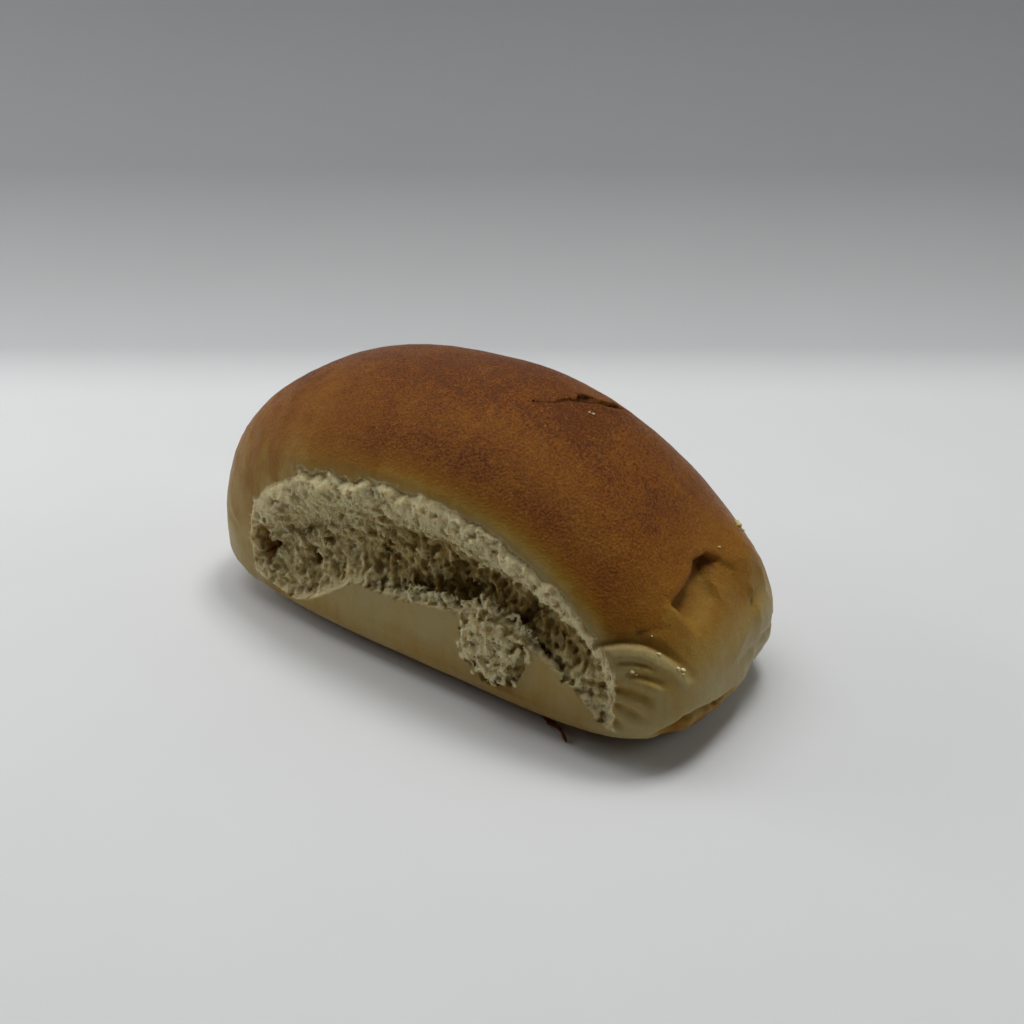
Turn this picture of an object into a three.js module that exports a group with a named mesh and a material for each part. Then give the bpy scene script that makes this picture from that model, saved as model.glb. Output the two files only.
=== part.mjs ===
import * as THREE from "three";
import { mergeVertices } from "three/addons/utils/BufferGeometryUtils.js";

// A sweet milk roll that was baked in a row and pulled away from its neighbours.
// Millimetres. X runs along the roll, Y across it, Z up, and the roll lies on its sole.
// The front side, towards -Y, is the torn one that is best known; the back is torn too.

// Body of the loaf
const LENGTH = 115;
const HEIGHT = 55.5;
const HALF_WIDTH_FRONT = 30.75;
const HALF_WIDTH_BACK = 28.3;
const WAIST_SHARE = 0.206;      // height of the widest level, as a share of HEIGHT
const LEFT_ROUNDNESS = 2.78;    // power of the end curve: higher is blunter
const RIGHT_ROUNDNESS = 3.74;
const END_BLEND = 3.67;         // how the cross-section closes towards the ends
const TOP_POWER = 2.47;         // power of the upper half of the cross-section
const BOTTOM_POWER = 2.28;
const LEFT_DROP = 0.18;         // how much lower the crown is at each end
const RIGHT_DROP = 0.62;
const FOOT = 0.7;               // the sole is flat below this level of the round body

// Torn sides
const FRONT_PLANE = 25;         // distance of the torn face from the middle
const BACK_PLANE = 23.6;
const SKIN_ROUNDING = 3.5;      // how softly untorn skin turns into the flat side
const LIP_ROUNDING = 0.3;
const GROOVE_DEPTH = 1.1;       // shadow line right under the crust's torn edge
const GROOVE_WIDTH = 0.9;
const BAND_RISE = 0.9;          // stretched crumb that stands out under the groove
const BAND_MIDDLE = 4.2;
const BAND_WIDTH = 3.2;
const WALL_START = 6.5;         // the crumb wall sinks in between these drops below the lip
const WALL_END = 14;
const CRUMB_ROUGHNESS = 0.55;
const TEAR_EDGE = 1.2;          // width over which skin steps down to torn crumb

const FLAP_RAGGEDNESS = 0.5;
const FLAP_WAVE = 7;

// Front tear: outline in X and Z, and how deep its wall lies
const FRONT = {
  side: -1,
  plane: FRONT_PLANE,
  halfWidth: HALF_WIDTH_FRONT,
  left: -40,
  right: 46.8,
  flapTop: [
    [-60, 5.5], [-26, 5.5], [-17, 12.6], [-7, 18.2], [5, 21],
    [17, 21], [29, 19], [38, 13], [44, 10], [60, 4.5],
  ],
  wallDepth: [[-60, 0], [-40, 0.6], [-30, 2.4], [-5, 3.6], [12, 5.4], [30, 5.6], [40, 3.4], [48, 0.4]],
  caveDepth: [[-60, 0], [-10, 0], [4, 1.6], [18, 2.6], [36, 2], [44, 0], [60, 0]],
};

// Back tear: the flap is lower and its high part is at the other end
const BACK = {
  side: 1,
  plane: BACK_PLANE,
  halfWidth: HALF_WIDTH_BACK,
  left: -42,
  right: 44,
  flapTop: [
    [-60, 4.5], [-42, 9], [-30, 15.5], [-14, 17.5], [2, 15],
    [14, 10.5], [24, 8], [36, 9.5], [44, 7], [60, 4.5],
  ],
  wallDepth: [[-60, 0], [-42, 0.6], [-30, 4], [-8, 4.8], [14, 3], [32, 3.4], [42, 1], [48, 0.4]],
  caveDepth: [[-60, 0], [-36, 0], [-26, 2], [-10, 2.2], [6, 0], [60, 0]],
};

// Hollows in the front wall: place in X and Z, half sizes in X and Z, depth
const FRONT_HOLLOWS = [
  { x: -36.4, z: 17, halfX: 1.9, halfZ: 4.6, depth: 4.5 },
  { x: -24.6, z: 16.2, halfX: 2.6, halfZ: 2.6, depth: 3.2 },
  { x: -16.8, z: 15.6, halfX: 3.4, halfZ: 3, depth: 1.6 },
  { x: 5, z: 28.5, halfX: 3, halfZ: 2.4, depth: 2.2 },
  { x: 24.6, z: 20.8, halfX: 3.2, halfZ: 2.2, depth: 2.4 },
];
const BACK_HOLLOWS = [
  { x: 24, z: 20, halfX: 3.2, halfZ: 2.6, depth: 3 },
  { x: -20, z: 24, halfX: 3, halfZ: 2.2, depth: 2.4 },
  { x: 8, z: 26, halfX: 2.4, halfZ: 2.4, depth: 1.8 },
];

// Patch of crumb that stayed on the outside of the flap
const FRONT_BLOB = { x: 22.8, z: 15.8, halfX: 7.4, halfZ: 7.2, rise: 1.5 };
const BACK_BLOB = { x: -32, z: 11, halfX: 5, halfZ: 3.6, rise: 1.2 };

// Dent in the right end: a pocket under a steep rim, open downwards
const DENT_RIM = [
  [50.6, -10.6, 27.9], [49.6, -7.8, 29.8], [48.4, -3.6, 31.6], [48.7, 0.2, 31.3], [50.2, 1.9, 29.4],
];
const DENT_FLOOR = [51.8, -5, 27.4];
const DENT_RADIUS = 5.4;
const DENT_DEPTH = 2.6;

// Fold that runs right from the tear, and the pale wrinkles that fan out below it
const FOLD_LINE = [[44.4, -24.4, 24.4], [49, -20.4, 24.7], [52, -17.8, 22.6], [55, -15.6, 19]];
const FOLD_RISE = 1.3;
const FOLD_WIDTH = 1.9;
const FOLD_CREASE = 1;
const FOLD_FADE = 0.6;          // share of its height that the fold loses by its far end
const CREASE_OFFSET = 3;
const WRINKLE_CENTRE = [38, 20];
const WRINKLE_COUNT = 15;       // waves in a full turn round the fan's centre
const WRINKLE_HEIGHT = 0.45;

// Crack across the crown, narrow first and then gaping
const CRACK_LINE = [[16.6, -4.2, 53], [18.6, 1, 52.4], [20, 5.4, 51.6], [23, 12.5, 48.4]];
const CRACK_DEPTH = 1.6;
const CRACK_WIDTH = 1.1;

// Golden edge of the sole that sticks out under the right end, and the fold at the left
const SOLE_EDGE_LEVEL = 3.4;
const SOLE_EDGE_RISE = 1.1;
const SOLE_EDGE_WIDTH = 1.7;
const LEFT_FOLD_LINE = [[-55.5, -9, 8], [-50.5, -18.5, 6.5], [-41, -24.8, 5.8], [-30, -25.3, 5]];
const LEFT_FOLD_RISE = 0.8;
const LEFT_FOLD_WIDTH = 1.6;

// Soft swellings of the skin near the right end, beside the back tear
const END_SWELLINGS = [
  { at: [56, 9, 25], radius: 6, rise: 1.1 },
  { at: [57, 12, 15], radius: 5.5, rise: 1.2 },
  { at: [56.5, 7, 8], radius: 4.5, rise: 0.7 },
];

// Mesh: a box grid laid over the loaf by rays from a core line
const COLUMNS = 54;             // faces along the roll
const ROWS_ACROSS = 14;
const ROWS_UP = 28;
const CORE_HALF_LENGTH = 36;
const CORE_LEVEL = 20;
const SIDE_LOW_ANGLE = THREE.MathUtils.degToRad(-42);
const SIDE_HIGH_ANGLE = THREE.MathUtils.degToRad(50);
const FLAP_ROW = -1 + (2 * 9) / ROWS_UP;
const LIP_ROW = -1 + (2 * 24) / ROWS_UP;
const LEAST_SPAN = THREE.MathUtils.degToRad(38);
const LEAST_MARGIN = THREE.MathUtils.degToRad(8);
const MOST_TILT = 0.9;
const EDGE_PASSES = 6;
const END_CAP_TILTS = [0.68, 1]; // rows even out between these tilts of the ray
const RAY_REACH = 80;
const RAY_STEP = 0.4;
const BISECTIONS = 30;
const FLAT_TOLERANCE = 0.002;
const WELD = 0.001;

const CRUST_COLOUR = 0x8a5a2c;
const CRUST_ROUGHNESS = 0.55;

const waist = WAIST_SHARE * HEIGHT;

function smoothstep(low, high, value) {
  const share = Math.min(1, Math.max(0, (value - low) / (high - low)));
  return share * share * (3 - 2 * share);
}

function hump(distance, width) {
  return Math.exp(-((distance / width) ** 2));
}

function smoothMax(a, b, radius) {
  const share = Math.max(radius - Math.abs(a - b), 0) / radius;
  return Math.max(a, b) + (share * share * radius) / 4;
}

// Height of an outline of [x, height] points, eased between its points
function along(points, x) {
  for (let i = 1; i < points.length; i += 1) {
    const [x0, y0] = points[i - 1];
    const [x1, y1] = points[i];
    if (x <= x1) return y0 + (y1 - y0) * smoothstep(x0, x1, x);
  }
  return points[points.length - 1][1];
}

// Distance from a point to a line of corners, and the share of the line passed
function toLine(corners, point) {
  let best = Infinity;
  let share = 0;
  const start = new THREE.Vector3();
  const end = new THREE.Vector3();
  const nearest = new THREE.Vector3();
  for (let i = 1; i < corners.length; i += 1) {
    start.fromArray(corners[i - 1]);
    end.fromArray(corners[i]);
    const segment = new THREE.Line3(start, end);
    segment.closestPointToPoint(point, true, nearest);
    const distance = nearest.distanceTo(point);
    if (distance < best) {
      best = distance;
      share = (i - 1 + segment.closestPointToPointParameter(point, true)) / (corners.length - 1);
    }
  }
  return { distance: best, share };
}

// Slow uneven waves in three directions, between about -1 and 1
function unevenness(x, y, z, wavelength) {
  const k = (2 * Math.PI) / wavelength;
  const first = Math.sin(k * (x + 0.6 * z) + 1.3 * Math.sin(k * 0.71 * z + 0.4));
  const second = Math.sin(k * (0.83 * z - 0.35 * x) + 1.7 * Math.sin(k * 0.57 * x + 2.1));
  const third = Math.sin(k * (0.9 * y + 0.5 * x) + 0.9);
  return (first + second + 0.5 * third) / 2.5;
}

// Round body without tears: below 0 inside, in shares of its size
function bodyLevel(point) {
  const u = (2 * point.x) / LENGTH;
  const roundness = u < 0 ? LEFT_ROUNDNESS : RIGHT_ROUNDNESS;
  const drop = u < 0 ? LEFT_DROP : RIGHT_DROP;
  const crown = (HEIGHT - waist) * (1 - drop * u * u);
  const rise = point.z - waist;
  const power = rise > 0 ? TOP_POWER : BOTTOM_POWER;
  const across = Math.abs(point.y) / (point.y < 0 ? HALF_WIDTH_FRONT : HALF_WIDTH_BACK);
  const upwards = Math.abs(rise) / (rise > 0 ? Math.max(crown, 1) : waist);
  const section = (across ** power + upwards ** power) ** (1 / power);
  return (Math.abs(u) ** roundness + section ** END_BLEND) ** (1 / END_BLEND) - 1;
}

// The same in millimetres, close to the surface
function bodyDistance(point) {
  const step = 0.05;
  const level = bodyLevel(point);
  const probe = new THREE.Vector3();
  const slope = new THREE.Vector3(
    bodyLevel(probe.copy(point).setX(point.x + step)) - level,
    bodyLevel(probe.copy(point).setY(point.y + step)) - level,
    bodyLevel(probe.copy(point).setZ(point.z + step)) - level,
  ).divideScalar(step);
  return level / Math.max(slope.length(), 0.01);
}

// Level at which the round body meets the plane of a tear, which is the tear's lip
function lipLevel(tear, x) {
  const u = (2 * x) / LENGTH;
  const roundness = u < 0 ? LEFT_ROUNDNESS : RIGHT_ROUNDNESS;
  const drop = u < 0 ? LEFT_DROP : RIGHT_DROP;
  const radius = Math.max(1 - Math.abs(u) ** roundness, 0) ** (1 / END_BLEND);
  const across = tear.plane / tear.halfWidth / Math.max(radius, 0.01);
  if (across >= 1) return waist;
  const upwards = (1 - across ** TOP_POWER) ** (1 / TOP_POWER) * radius;
  return waist + (HEIGHT - waist) * (1 - drop * u * u) * upwards;
}

// Level of the flap's ragged upper edge
function flapLevel(tear, x) {
  return along(tear.flapTop, x) + FLAP_RAGGEDNESS * unevenness(x, 0, 0, FLAP_WAVE);
}

function hollowDepth(hollows, x, z) {
  return hollows.reduce((sum, hollow) => {
    const offset = Math.hypot((x - hollow.x) / hollow.halfX, (z - hollow.z) / hollow.halfZ);
    return sum + hollow.depth * (1 - smoothstep(0.4, 1.15, offset));
  }, 0);
}

// How far the torn crumb lies behind the plane of its side, and 0 on untorn skin
function tearDepth(tear, hollows, x, z) {
  const belowLip = lipLevel(tear, x) - z;
  const aboveFlap = z - flapLevel(tear, x);
  const fromEnds = Math.min(x - tear.left, tear.right - x);
  const inside = smoothstep(0, TEAR_EDGE, Math.min(aboveFlap, fromEnds, belowLip));
  const groove = GROOVE_DEPTH * hump(belowLip, GROOVE_WIDTH);
  const band = BAND_RISE * hump(belowLip - BAND_MIDDLE, BAND_WIDTH);
  const wall = along(tear.wallDepth, x) * smoothstep(WALL_START, WALL_END, belowLip);
  const cave = along(tear.caveDepth, x) * (1 - smoothstep(2, 9, aboveFlap));
  const rough = CRUMB_ROUGHNESS * unevenness(x, 3, z, 6.5) * smoothstep(2, 8, belowLip);
  return inside * (groove - band + wall + cave + rough + hollowDepth(hollows, x, z));
}

function blobRise(blob, x, z) {
  const offset = Math.hypot((x - blob.x) / blob.halfX, (z - blob.z) / blob.halfZ);
  return blob.rise * (1 - smoothstep(0.75, 1.1, offset)) * (1 + 0.35 * unevenness(x, 9, z, 4.5));
}

function tearDistance(tear, hollows, blob, point) {
  const depth = tearDepth(tear, hollows, point.x, point.z);
  const blobHere = blobRise(blob, point.x, point.z) * (1 - smoothstep(0, 1.5, depth));
  return tear.side * point.y - tear.plane + depth - blobHere;
}

// Torn where the crumb shows, so the crust's edge is sharp there and skin is soft elsewhere
function isTorn(tear, point) {
  const outward = smoothstep(0, 8, tear.side * point.y);
  const fromEnds = smoothstep(-2, 1, Math.min(point.x - tear.left, tear.right - point.x));
  return outward * fromEnds * smoothstep(waist, waist + 4, point.z);
}

function dentOffset(point) {
  const rim = toLine(DENT_RIM, point);
  const floor = new THREE.Vector3().fromArray(DENT_FLOOR).distanceTo(point);
  const pocket = DENT_DEPTH * (1 - smoothstep(0.55 * DENT_RADIUS, DENT_RADIUS, floor));
  return -pocket + 0.5 * hump(rim.distance, 1.4);
}

function foldOffset(point) {
  const fold = toLine(FOLD_LINE, point);
  const above = point.clone();
  above.z -= CREASE_OFFSET;
  const crease = toLine(FOLD_LINE, above);
  const ridge = FOLD_RISE * hump(fold.distance, FOLD_WIDTH);
  const groove = FOLD_CREASE * hump(crease.distance, FOLD_WIDTH);
  return (1 - FOLD_FADE * fold.share) * (ridge - groove);
}

function wrinkleOffset(point) {
  const [centreX, centreZ] = WRINKLE_CENTRE;
  const angle = Math.atan2(point.z - centreZ, point.x - centreX);
  const reach = Math.hypot(point.x - centreX, point.z - centreZ);
  const onFan = smoothstep(0.1, -0.15, angle) * smoothstep(-1.35, -1, angle) * smoothstep(4, 9, reach);
  const front = smoothstep(-8, -15, point.y);
  return WRINKLE_HEIGHT * onFan * front * smoothstep(24, 13, reach) * Math.sin(WRINKLE_COUNT * angle);
}

function crackOffset(point) {
  const crack = toLine(CRACK_LINE, point);
  const gape = smoothstep(0, 0.7, crack.share);
  return -CRACK_DEPTH * (0.35 + 0.65 * gape) * hump(crack.distance, CRACK_WIDTH * (0.7 + 0.6 * gape));
}

function soleOffset(point) {
  const rightEnd = smoothstep(38, 50, point.x) * smoothstep(24, 12, Math.abs(point.y + 6));
  const leftFold = toLine(LEFT_FOLD_LINE, point);
  const edge = SOLE_EDGE_RISE * rightEnd * hump(point.z - SOLE_EDGE_LEVEL, SOLE_EDGE_WIDTH);
  return edge + LEFT_FOLD_RISE * hump(leftFold.distance, LEFT_FOLD_WIDTH);
}

function swellingOffset(point) {
  return END_SWELLINGS.reduce((sum, swelling) => {
    const distance = new THREE.Vector3().fromArray(swelling.at).distanceTo(point);
    return sum + swelling.rise * hump(distance, swelling.radius);
  }, 0);
}

// How far the skin stands proud of the plain body
function skinOffset(point) {
  const slow = 0.25 * unevenness(point.x, point.y, point.z, 31);
  return slow + dentOffset(point) + foldOffset(point) + wrinkleOffset(point)
    + crackOffset(point) + soleOffset(point) + swellingOffset(point);
}

// Whole roll: below 0 inside
function rollDistance(point) {
  const skin = bodyDistance(point) - skinOffset(point);
  const front = tearDistance(FRONT, FRONT_HOLLOWS, FRONT_BLOB, point);
  const back = tearDistance(BACK, BACK_HOLLOWS, BACK_BLOB, point);
  const frontRounding = THREE.MathUtils.lerp(SKIN_ROUNDING, LIP_ROUNDING, isTorn(FRONT, point));
  const backRounding = THREE.MathUtils.lerp(SKIN_ROUNDING, LIP_ROUNDING, isTorn(BACK, point));
  const sides = smoothMax(smoothMax(skin, front, frontRounding), back, backRounding);
  return Math.max(sides, FOOT - point.z);
}

// Angle from the core up to an edge on the plane of a tear, for rays of this tilt
function edgeAngle(tear, levelAt, tilt) {
  let angle = 0;
  for (let i = 0; i < EDGE_PASSES; i += 1) {
    const x = CORE_HALF_LENGTH * Math.sin(tilt) + (tear.plane * Math.tan(tilt)) / Math.cos(angle);
    angle = Math.atan2(levelAt(tear, x) - CORE_LEVEL, tear.plane);
  }
  return angle;
}

// Angle of a grid row on a torn side: one row runs along the flap's edge and one along the lip
function sideAngle(tear, row, tilt) {
  const sideTilt = THREE.MathUtils.clamp(tilt, -MOST_TILT, MOST_TILT);
  const flap = Math.max(edgeAngle(tear, flapLevel, sideTilt), SIDE_LOW_ANGLE + LEAST_MARGIN);
  const lip = Math.max(edgeAngle(tear, lipLevel, sideTilt), flap + LEAST_SPAN);
  const rows = [-1, FLAP_ROW, LIP_ROW, 1];
  const angles = [SIDE_LOW_ANGLE, flap, Math.min(lip, SIDE_HIGH_ANGLE - LEAST_MARGIN), SIDE_HIGH_ANGLE];
  const part = row < FLAP_ROW ? 0 : row < LIP_ROW ? 1 : 2;
  const fitted = THREE.MathUtils.mapLinear(row, rows[part], rows[part + 1], angles[part], angles[part + 1]);
  const even = THREE.MathUtils.mapLinear(row, -1, 1, SIDE_LOW_ANGLE, SIDE_HIGH_ANGLE);
  return THREE.MathUtils.lerp(fitted, even, smoothstep(...END_CAP_TILTS, Math.abs(tilt)));
}

// Angle round the core for a point on the box's outline
function aroundAngle(y, z, tilt) {
  const level = Math.max(Math.abs(y), Math.abs(z), 1e-9);
  const sideways = y / level;
  const upwards = z / level;
  if (Math.abs(sideways) >= Math.abs(upwards)) {
    if (sideways < 0) return Math.PI - sideAngle(FRONT, upwards, tilt);
    return sideAngle(BACK, upwards, tilt);
  }
  const corner = upwards > 0 ? SIDE_HIGH_ANGLE : SIDE_LOW_ANGLE;
  const opposite = upwards > 0 ? Math.PI - corner : -Math.PI - corner;
  return THREE.MathUtils.mapLinear(sideways, 1, -1, corner, opposite);
}

// Ray from the core line for a point of the box grid
function rayFor(grid) {
  const quarter = Math.PI / 4;
  const level = Math.max(Math.abs(grid.y), Math.abs(grid.z));
  const tilt = Math.atan2(Math.tan(grid.x * quarter), Math.tan(level * quarter));
  const around = aroundAngle(grid.y, grid.z, tilt);
  const origin = new THREE.Vector3(CORE_HALF_LENGTH * Math.sin(tilt), 0, CORE_LEVEL);
  const direction = new THREE.Vector3(
    Math.sin(tilt),
    Math.cos(tilt) * Math.cos(around),
    Math.cos(tilt) * Math.sin(around),
  );
  return new THREE.Ray(origin, direction);
}

// Where a torn side cuts the body, the ray runs straight across through the same place on it
function squareRay(ray) {
  const tear = ray.direction.y < 0 ? FRONT : BACK;
  const outward = Math.max(Math.abs(ray.direction.y), 1e-6);
  const crossing = ray.at(tear.plane / outward, new THREE.Vector3());
  if (bodyDistance(crossing) > 0) return ray;
  const origin = new THREE.Vector3(crossing.x, 0, crossing.z);
  return new THREE.Ray(origin, new THREE.Vector3(0, tear.side, 0));
}

// Outermost place where the ray leaves the roll
function surfacePoint(ray) {
  const point = new THREE.Vector3();
  let outside = RAY_REACH;
  while (outside > RAY_STEP && rollDistance(ray.at(outside - RAY_STEP, point)) > 0) outside -= RAY_STEP;
  let inside = outside - RAY_STEP;
  for (let i = 0; i < BISECTIONS; i += 1) {
    const middle = (inside + outside) / 2;
    if (rollDistance(ray.at(middle, point)) > 0) outside = middle;
    else inside = middle;
  }
  ray.at(inside, point);
  if (Math.abs(point.z - FOOT) < FLAT_TOLERANCE) point.z = FOOT;
  return point;
}

function rollGeometry() {
  const box = new THREE.BoxGeometry(2, 2, 2, COLUMNS, ROWS_ACROSS, ROWS_UP);
  box.deleteAttribute("normal");
  box.deleteAttribute("uv");
  const geometry = mergeVertices(box, WELD);
  const position = geometry.getAttribute("position");
  const grid = new THREE.Vector3();
  for (let i = 0; i < position.count; i += 1) {
    grid.fromBufferAttribute(position, i);
    const point = surfacePoint(squareRay(rayFor(grid)));
    position.setXYZ(i, point.x, point.y, point.z);
  }
  geometry.computeBoundingBox();
  const centre = geometry.boundingBox.getCenter(new THREE.Vector3());
  geometry.translate(-centre.x, -centre.y, -FOOT);
  geometry.computeVertexNormals();
  return geometry;
}

const material = new THREE.MeshStandardMaterial({
  color: CRUST_COLOUR,
  roughness: CRUST_ROUGHNESS,
  metalness: 0,
});
const roll = new THREE.Mesh(rollGeometry(), material);
roll.name = "roll";

const model = new THREE.Group();
model.name = "sweet_milk_roll";
model.add(roll);

export default model;
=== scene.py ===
import math

import bmesh
import bpy
import numpy as np
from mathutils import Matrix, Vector


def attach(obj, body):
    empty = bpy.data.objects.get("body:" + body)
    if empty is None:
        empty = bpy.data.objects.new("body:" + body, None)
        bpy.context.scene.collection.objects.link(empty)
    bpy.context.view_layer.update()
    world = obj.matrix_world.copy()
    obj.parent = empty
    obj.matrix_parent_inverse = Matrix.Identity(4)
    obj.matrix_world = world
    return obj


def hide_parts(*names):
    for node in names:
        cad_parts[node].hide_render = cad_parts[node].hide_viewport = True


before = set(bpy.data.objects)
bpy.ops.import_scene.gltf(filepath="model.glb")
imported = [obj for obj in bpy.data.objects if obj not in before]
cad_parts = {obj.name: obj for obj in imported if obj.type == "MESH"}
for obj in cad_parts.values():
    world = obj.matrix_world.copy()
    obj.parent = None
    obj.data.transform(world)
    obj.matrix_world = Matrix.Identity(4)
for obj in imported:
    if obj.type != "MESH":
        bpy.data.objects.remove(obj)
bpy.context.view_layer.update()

# Sweet milk roll, pulled away from its neighbours. Lengths are in millimetres in the loaf's own
# coordinates, the same as in the CAD source, and are turned into metres where a mesh is made.

# Body of the loaf
LENGTH = 115.0
HEIGHT = 55.5
HALF_WIDTH_FRONT = 30.75
HALF_WIDTH_BACK = 28.3
WAIST = 0.206 * HEIGHT
LEFT_ROUNDNESS = 2.78
RIGHT_ROUNDNESS = 3.74
END_BLEND = 3.67
TOP_POWER = 2.47
BOTTOM_POWER = 2.28
LEFT_DROP = 0.18
RIGHT_DROP = 0.62
FOOT = 0.7
MIDDLE = (0.2885, -0.9994, FOOT)    # where the middle of the CAD model's sole lies

# Torn sides
SKIN_ROUNDING = 3.5
LIP_ROUNDING = 0.25
GROOVE_DEPTH = 1.2
GROOVE_WIDTH = 0.5
BAND_RISE = 1.1
BAND_MIDDLE = 3.4
BAND_WIDTH = 2.6
NARROW_FROM = 12.0                  # towards the right end the band gets narrower
NARROW_TO = 40.0
NARROWEST = 0.5
WALL_START = 6.0
WALL_END = 13.0
FLAP_THICKNESS = 1.3                # at its upper edge
FLAP_TAPER = 0.35                   # how fast it thickens downwards
FLAP_BULGE = 1.0                    # outwards
FLAP_BULGE_LEVEL = 9.0
FLAP_BULGE_HEIGHT = 7.5
RIM_SETBACK = 0.45                  # of the bare crumb along the flap's upper edge
CAVE_BELOW = 4.0                    # how far the cave reaches down behind the flap

# The two tears. Pairs start with an x. Then comes, for lip and flap, the height of that edge, for rim
# how far bare crumb reaches down from the flap's edge, for wall how far the crumb sinks, and for cave
# how open the gap behind the flap is. A hollow in the wall has its x and z, half sizes and depth, and
# so has the patch of crumb that stayed on the outside of the flap, with its rise last.
FRONT = {
    "side": -1,
    "plane": 25.0,
    "half_width": HALF_WIDTH_FRONT,
    "left": -40.0,
    "right": 46.2,
    "lip": [(-60, 12), (-42, 13), (-39.4, 21), (-38.3, 26.3), (-34.6, 30.2), (-28.7, 34.3), (-23.5, 37.9),
            (-16.6, 39.2), (-9.7, 40.3), (-0.6, 42.2), (8, 60), (60, 60)],
    "flap": [(-60, 9.6), (-39.5, 9.2), (-35.5, 8.0), (-31.9, 7.5), (-28.5, 6.8), (-22.6, 9.4), (-12, 16.3),
             (-4, 17.9), (3, 19.3), (10, 20.7), (13.5, 21), (17.5, 23), (26, 22.4), (29.5, 19), (34, 16.4),
             (38.5, 15.2), (42, 11.6), (45, 9), (60, 4.5)],
    "rim": [(-60, 0), (-14, 0), (2, 1.3), (14, 1.9), (26, 1.6), (31, 0.35), (60, 0.35)],
    "wall": [(-60, 0), (-40, 0.6), (-30, 2.2), (-5, 3.2), (12, 4.4), (28, 3.8), (38, 2.6), (48, 0.4)],
    "cave": [(-60, 0), (-12, 0), (2, 0.6), (12, 0.9), (24, 0.8), (32, 0.35), (38, 0.1), (46, 0)],
    "hollows": [
        (-36.6, 17, 1.9, 4.4, 3.0), (-24.8, 16.6, 2.7, 2.6, 3.4), (-17.2, 15.8, 2.9, 2.6, 1.6),
        (-29.5, 26.5, 1.6, 1.2, 0.9), (-20.5, 22.5, 3.2, 1.8, 1.0), (-6, 24.5, 3.4, 2.0, 1.0),
        (0.5, 30.2, 2.8, 1.7, 1.6), (11.0, 25.6, 2.6, 1.8, 1.4), (27.2, 22.6, 1.7, 1.6, 2.2),
    ],
    "patch": (21.4, 15.6, 7.2, 7.4, 1.5),
    "pores": 7600,
    "patch_pores": 520,
    "seed": 11,
}
BACK = {
    "side": 1,
    "plane": 23.6,
    "half_width": HALF_WIDTH_BACK,
    "left": -42.0,
    "right": 44.0,
    "lip": [(-60, 60), (10, 60), (22, 34), (32, 29), (38.5, 24), (43, 17), (60, 12)],
    "flap": [(-60, 4.5), (-42, 9), (-30, 15.5), (-14, 17.5), (2, 15),
             (14, 10.5), (24, 8), (36, 9.5), (44, 7), (60, 4.5)],
    "rim": [(-60, 0.4), (-34, 1.2), (-12, 1.6), (4, 0.8), (14, 0), (60, 0)],
    "wall": [(-60, 0), (-42, 0.6), (-30, 4), (-8, 4.8), (14, 3), (32, 3.4), (42, 1), (48, 0.4)],
    "cave": [(-60, 0), (-38, 0.2), (-26, 0.9), (-12, 0.9), (4, 0), (60, 0)],
    "hollows": [
        (24, 20, 3.2, 2.6, 3.0), (-20, 24, 3.0, 2.2, 2.4), (8, 26, 2.4, 2.4, 1.8),
        (-34, 21, 2.0, 2.6, 2.6), (36, 17, 1.8, 2.4, 1.6),
    ],
    "patch": (-32.0, 11.0, 5.0, 3.6, 1.2),
    "pores": 4000,
    "patch_pores": 120,
    "seed": 23,
}
TEARS = (FRONT, BACK)
POCKET = FRONT["hollows"][0]        # lined with brown skin
LEAST_CAVE = 0.02                   # the flap is a thin wall only where the cave is more open
NO_FLAP = 9.0

# Pocket in the right end, under a steep rim
DENT_RIM = [(49.3, -12.3, 29.5), (49.2, -9.6, 30.0), (48.9, -6.3, 30.9), (47.9, -4.0, 32.2),
            (48.2, -0.2, 32.0), (49.4, 2.1, 30.5), (50.7, 3.6, 28.7)]
DENT_OUTWARD = (0.83, -0.22, 0.51)
DENT_DEPTH = 3.5
DENT_WALL = 0.9
DENT_RUN = 9.5
DENT_RIM_RISE = 0.35
DENT_LOWER_RIDGE = [(49.6, -13.9, 28.0), (51.1, -12.0, 26.9), (52.8, -9.0, 25.5)]
DENT_RIDGE_RISE = 0.7
DENT_RIDGE_WIDTH = 1.3

# Fold to the right of the front tear, its crease, and the wrinkles that fan out below
FOLD_LINE = [(43.4, -25.0, 23.2), (46.3, -23.0, 23.7), (49.0, -21.0, 23.2), (51.4, -19.3, 21.5),
             (53.2, -18.1, 19.7), (54.6, -17.2, 17.6)]
FOLD_RISE = 1.3
FOLD_WIDTH = 1.0
FOLD_STEEPNESS = 0.75
CREASE_DEPTH = 1.1
CREASE_OFFSET = 1.7
CREASE_WIDTH = 0.9
SLIT_LINE = [(47.3, -20.6, 26.3), (48.6, -18.8, 26.6), (50.4, -16.0, 26.6)]
SLIT_DEPTH = 0.6
SLIT_WIDTH = 0.4
WRINKLES = [
    ([(45.6, -24.5, 22.0), (47.7, -22.9, 22.1), (49.7, -21.5, 21.4), (51.8, -20.1, 19.9)], 0.5, 0.5),
    ([(47.0, -24.2, 20.4), (49.7, -22.4, 19.9), (52.0, -20.8, 18.6), (53.6, -19.7, 17.0)], 0.7, 0.6),
    ([(45.4, -25.0, 17.4), (48.8, -24.3, 16.9), (50.6, -23.2, 16.1), (52.4, -22.0, 14.6)], 1.3, 0.8),
    ([(45.4, -25.0, 15.0), (48.4, -24.9, 14.2), (49.7, -24.2, 13.1), (51.3, -23.1, 11.4)], 1.2, 0.75),
    ([(45.0, -25.0, 12.4), (47.0, -25.0, 10.6), (48.0, -24.8, 9.2)], 0.9, 0.6),
    ([(51.6, -17.6, 25.0), (53.6, -15.6, 22.6), (55.0, -14.0, 19.4)], 0.3, 0.8),
]

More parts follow.
